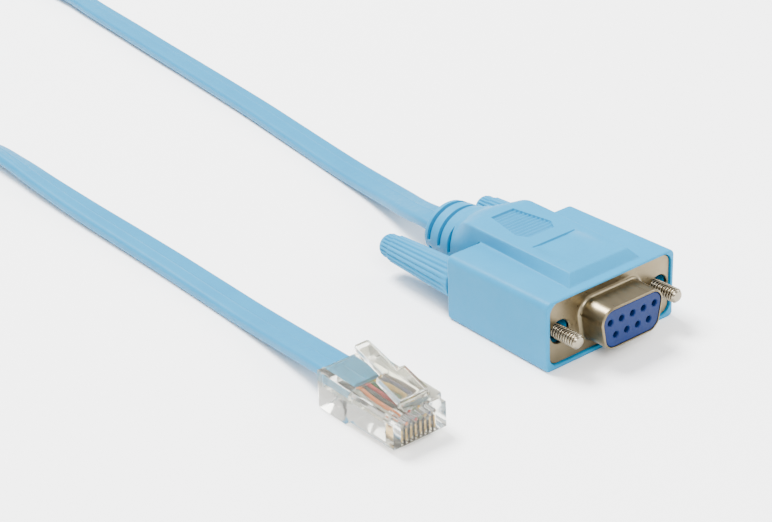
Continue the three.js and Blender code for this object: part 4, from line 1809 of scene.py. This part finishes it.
@dataclass
class FlatCable:
    """The eight-core flat cable, from inside the strain relief to inside the plug.

    It lies flat near both connectors, turns on edge on its way out, and its spare length is wound up on edge
    in a double spiral whose two ends meet in an S through the middle.
    """

    width: float = 6.9
    thickness: float = 2.4
    length: float = 1800.0
    corner: float = 0.95
    ridge_at: float = 0.45
    ridge_height: float = 0.1
    ridge_width: float = 0.11
    ridge_half: float = 0.14
    swell_height: float = 0.008
    swells: float = 8.2
    coil_middle: tuple = (-66.0, 226.0)
    coil_radius: float = 44.8
    coil_pitch: float = 5.2
    entry_radius: float = 49.75
    step: float = 1.25
    hood_twist: tuple = ((0.0, 0.0), (25.0, 0.0), (105.0, 0.094))
    plug_twist: tuple = ((0.0, 0.0), (40.0, 0.0), (120.0, 0.30))
    hood_turn: tuple = (68.0, 0.30)
    plug_turn: tuple = (42.0, 0.46)
    turned_by: float = 45.0
    exit: tuple = (0.0, 45.6, 7.3)
    hood_route: tuple = (
        (0.0, 42.6, 7.3), (0.0, 45.9, 7.3), (0.0, 47.9, 7.3), (0.4, 50.9, 7.1), (1.9, 58.0, 5.7),
        (4.6, 67.0, 3.9), (6.8, 76.0, 2.5), (8.9, 89.0, 1.5), (10.6, 102.0, 1.2), (12.2, 116.0, 1.2),
        (13.9, 131.0, 1.2), (15.3, 146.0, 1.2), (16.7, 162.0, 1.2), (18.2, 180.0, 1.2), (19.8, 198.0, 1.2),
        (21.2, 215.0, 1.2), (22.4, 229.0, 1.2), (21.8, 241.0, 1.2), (16.2, 251.5, 1.2), (6.2, 257.5, 1.2),
        (-5.0, 255.5, 1.2), (-13.0, 248.0, 1.2), (-16.3, 237.0, 1.2), (-16.3, 226.0, 1.2),
    )
    plug_route: tuple = (
        (-47.5, 11.1, 4.95), (-47.5, 18.25, 4.95), (-47.48, 19.75, 4.95), (-47.1, 24.0, 4.5),
        (-46.2, 32.0, 3.4), (-45.2, 42.0, 2.2), (-44.5, 53.0, 1.4), (-44.2, 66.0, 1.2), (-44.1, 80.0, 1.2),
        (-44.2, 95.0, 1.2), (-44.4, 112.0, 1.2), (-44.3, 128.0, 1.2), (-44.0, 143.0, 1.2),
        (-44.6, 156.0, 1.2), (-49.5, 168.0, 1.2), (-58.0, 174.5, 1.2), (-67.0, 176.2, 1.2),
    )

    def spiral(self, shift: float, start: float, end: float) -> Array:
        """One strand of the double spiral, wound clockwise and inwards.

        Its radius falls by the pitch for each turn, and over its first quarter turn it comes in from the
        entry radius.

        Args:
            shift: Added to the radius.
            start: The clockwise angle from +X where it starts.
            end: The clockwise angle where it ends.

        Returns:
            Points in space.
        """
        psi = np.linspace(start, end, 900)
        radius = self.coil_radius + shift - self.coil_pitch * psi / (2 * math.pi)
        first = self.coil_radius + shift - self.coil_pitch * start / (2 * math.pi)
        radius += (self.entry_radius - first) * (1 - soft_step(psi, start, start + math.pi / 2))
        x = self.coil_middle[0] + radius * np.cos(psi)
        y = self.coil_middle[1] - radius * np.sin(psi)
        return np.stack([x, y, np.full_like(x, self.thickness / 2)], axis=1)

    def coil(self, turned: float) -> Array:
        """The spare length: the hood's strand in, an S of two half circles, and the plug's strand out.

        Args:
            turned: How far round each strand is wound, in radians.

        Returns:
            Points in space.
        """
        inwards = self.spiral(0.0, 0.0, turned)
        outwards = self.spiral(self.coil_pitch / 2, math.pi / 2, turned + math.pi)[::-1]
        middle = np.array([*self.coil_middle, self.thickness / 2])
        arm = inwards[-1] - middle
        other = outwards[0] - middle
        bend = np.linspace(0, math.pi, 40)[1:-1, None]
        side = np.array([arm[1], -arm[0], 0.0])
        first = middle + arm / 2 + arm / 2 * np.cos(bend) + side / 2 * np.sin(bend)
        side = np.array([-other[1], other[0], 0.0])
        second = middle + other / 2 - other / 2 * np.cos(bend) - side / 2 * np.sin(bend)
        return np.concatenate([inwards, first, [middle], second, outwards])

    def path(self) -> tuple[Array, float, float]:
        """The whole centreline, wound as far as gives it the cable's length, found by halving.

        Returns:
            Points in space, the length of the hood's run and the length of the plug's run.
        """
        near = route(list(self.hood_route))
        far = route(list(self.plug_route))[::-1]
        runs = lengths(near)[-1] + lengths(far)[-1]
        low, high = 2 * math.pi, 8 * math.pi
        for _ in range(40):
            turned = (low + high) / 2
            if runs + lengths(self.coil(turned))[-1] < self.length:
                low = turned
            else:
                high = turned
        whole = np.concatenate([near[:-1], self.coil(turned), far[1:]])
        return evenly(whole, self.step), lengths(near)[-1], lengths(far)[-1]

    def twist(self, along: Array, total: float, near: float, far: float) -> Array:
        """How far the cable is turned about its own line.

        It is turned by nothing at the hood, by a quarter in the coil and by a half at the plug.

        Args:
            along: The distance along the cable to each of its points.
            total: The cable's length.
            near: The length of the hood's run.
            far: The length of the plug's run.

        Returns:
            The angle at each point, in radians.
        """
        quarter = math.pi / 2
        back = total - along
        near_end, far_end = near + self.turned_by, far + self.turned_by
        before, angle = self.hood_turn
        hood = curve_through(along, (*self.hood_twist, (near - before, angle), (near_end, quarter)))
        before, angle = self.plug_turn
        plug = curve_through(back, (*self.plug_twist, (far - before, angle), (far_end, quarter)))
        return np.where(along < near_end, hood, np.where(back < far_end, math.pi - plug, quarter))

    def section(self) -> Array:
        """The cable's outline: rounded edges, eight very faint swells and one fine ridge on each face.

        Returns:
            Pairs of a distance across and a height.
        """
        loop = rounded_rectangle(self.width, self.thickness, self.corner, arc=5, side=1)
        across = np.linspace(-self.width / 2 + self.corner, self.width / 2 - self.corner, 17)
        across = np.sort(np.append(across, self.ridge_at + self.ridge_half * np.array([-1, 0, 1])))
        swell = self.swell_height * np.cos(across * 2 * math.pi / (self.width / self.swells))
        ridge = self.ridge_height * np.exp(-((across - self.ridge_at) / self.ridge_width) ** 2)
        height = self.thickness / 2 - self.swell_height + swell + ridge
        face = np.stack([across, height], axis=1)[::-1]
        side = loop[np.abs(loop[:, 0]) > self.width / 2 - self.corner + 1e-6]
        right = side[side[:, 0] > 0]
        right = right[np.argsort(right[:, 1])]
        return np.concatenate([right, face, -right, -face])

    def build(self, material: bpy.types.Material, plug_pieces: list) -> bpy.types.Object:
        """Args:
            material: Its jacket.
            plug_pieces: The pieces on its far end. Not used.

        Returns:
            The cable.
        """
        path, near, far = self.path()
        along = lengths(path)
        turn = self.twist(along, along[-1], near, far)
        ahead = np.gradient(path, axis=0)
        ahead /= np.linalg.norm(ahead, axis=1, keepdims=True)
        level = np.cross(ahead, [0.0, 0.0, 1.0])
        level /= np.linalg.norm(level, axis=1, keepdims=True)
        over = np.cross(level, ahead)
        sine, cosine = np.sin(turn)[:, None], np.cos(turn)[:, None]
        path[:, 2] += (self.width - self.thickness) / 2 * np.abs(sine[:, 0])
        face = over * cosine + level * sine
        wide = level * cosine - over * sine
        outline = self.section()
        across, height = outline[:, 0, None], outline[:, 1, None]
        points = path[:, None, :] + wide[:, None, :] * across + face[:, None, :] * height
        cable = new_object("flat_cable", closed(points))
        nodes = ["cable_run_db9", "cable_run_plug", "cable_coil"]
        dress(cable, material, Body.ROOT, nodes, 50.0)
        log.info("cable: %.0f mm long, coil starts %.0f mm from the hood", along[-1], near)
        return cable


def main() -> None:
    """Builds the scene and every piece, in order."""
    logging.basicConfig(level=logging.INFO, format="%(name)s: %(message)s")
    PictureCamera().build()
    Studio().build()
    sky, gold = SKY.build(), GOLD.build()
    shell = Shell()
    Hood().build(sky, shell)
    shell.build(TIN.build())
    Insulator().build(shell, BLUE.build(), gold)
    nickel = NICKEL.build()
    for side in Turn:
        Thumbscrew(side).build(nickel, sky)
    pieces = Plug().build(CLEAR.build(), gold)
    FlatCable().build(JACKET.build(), [piece.name for piece in pieces])


if __name__ == "__main__":
    main()
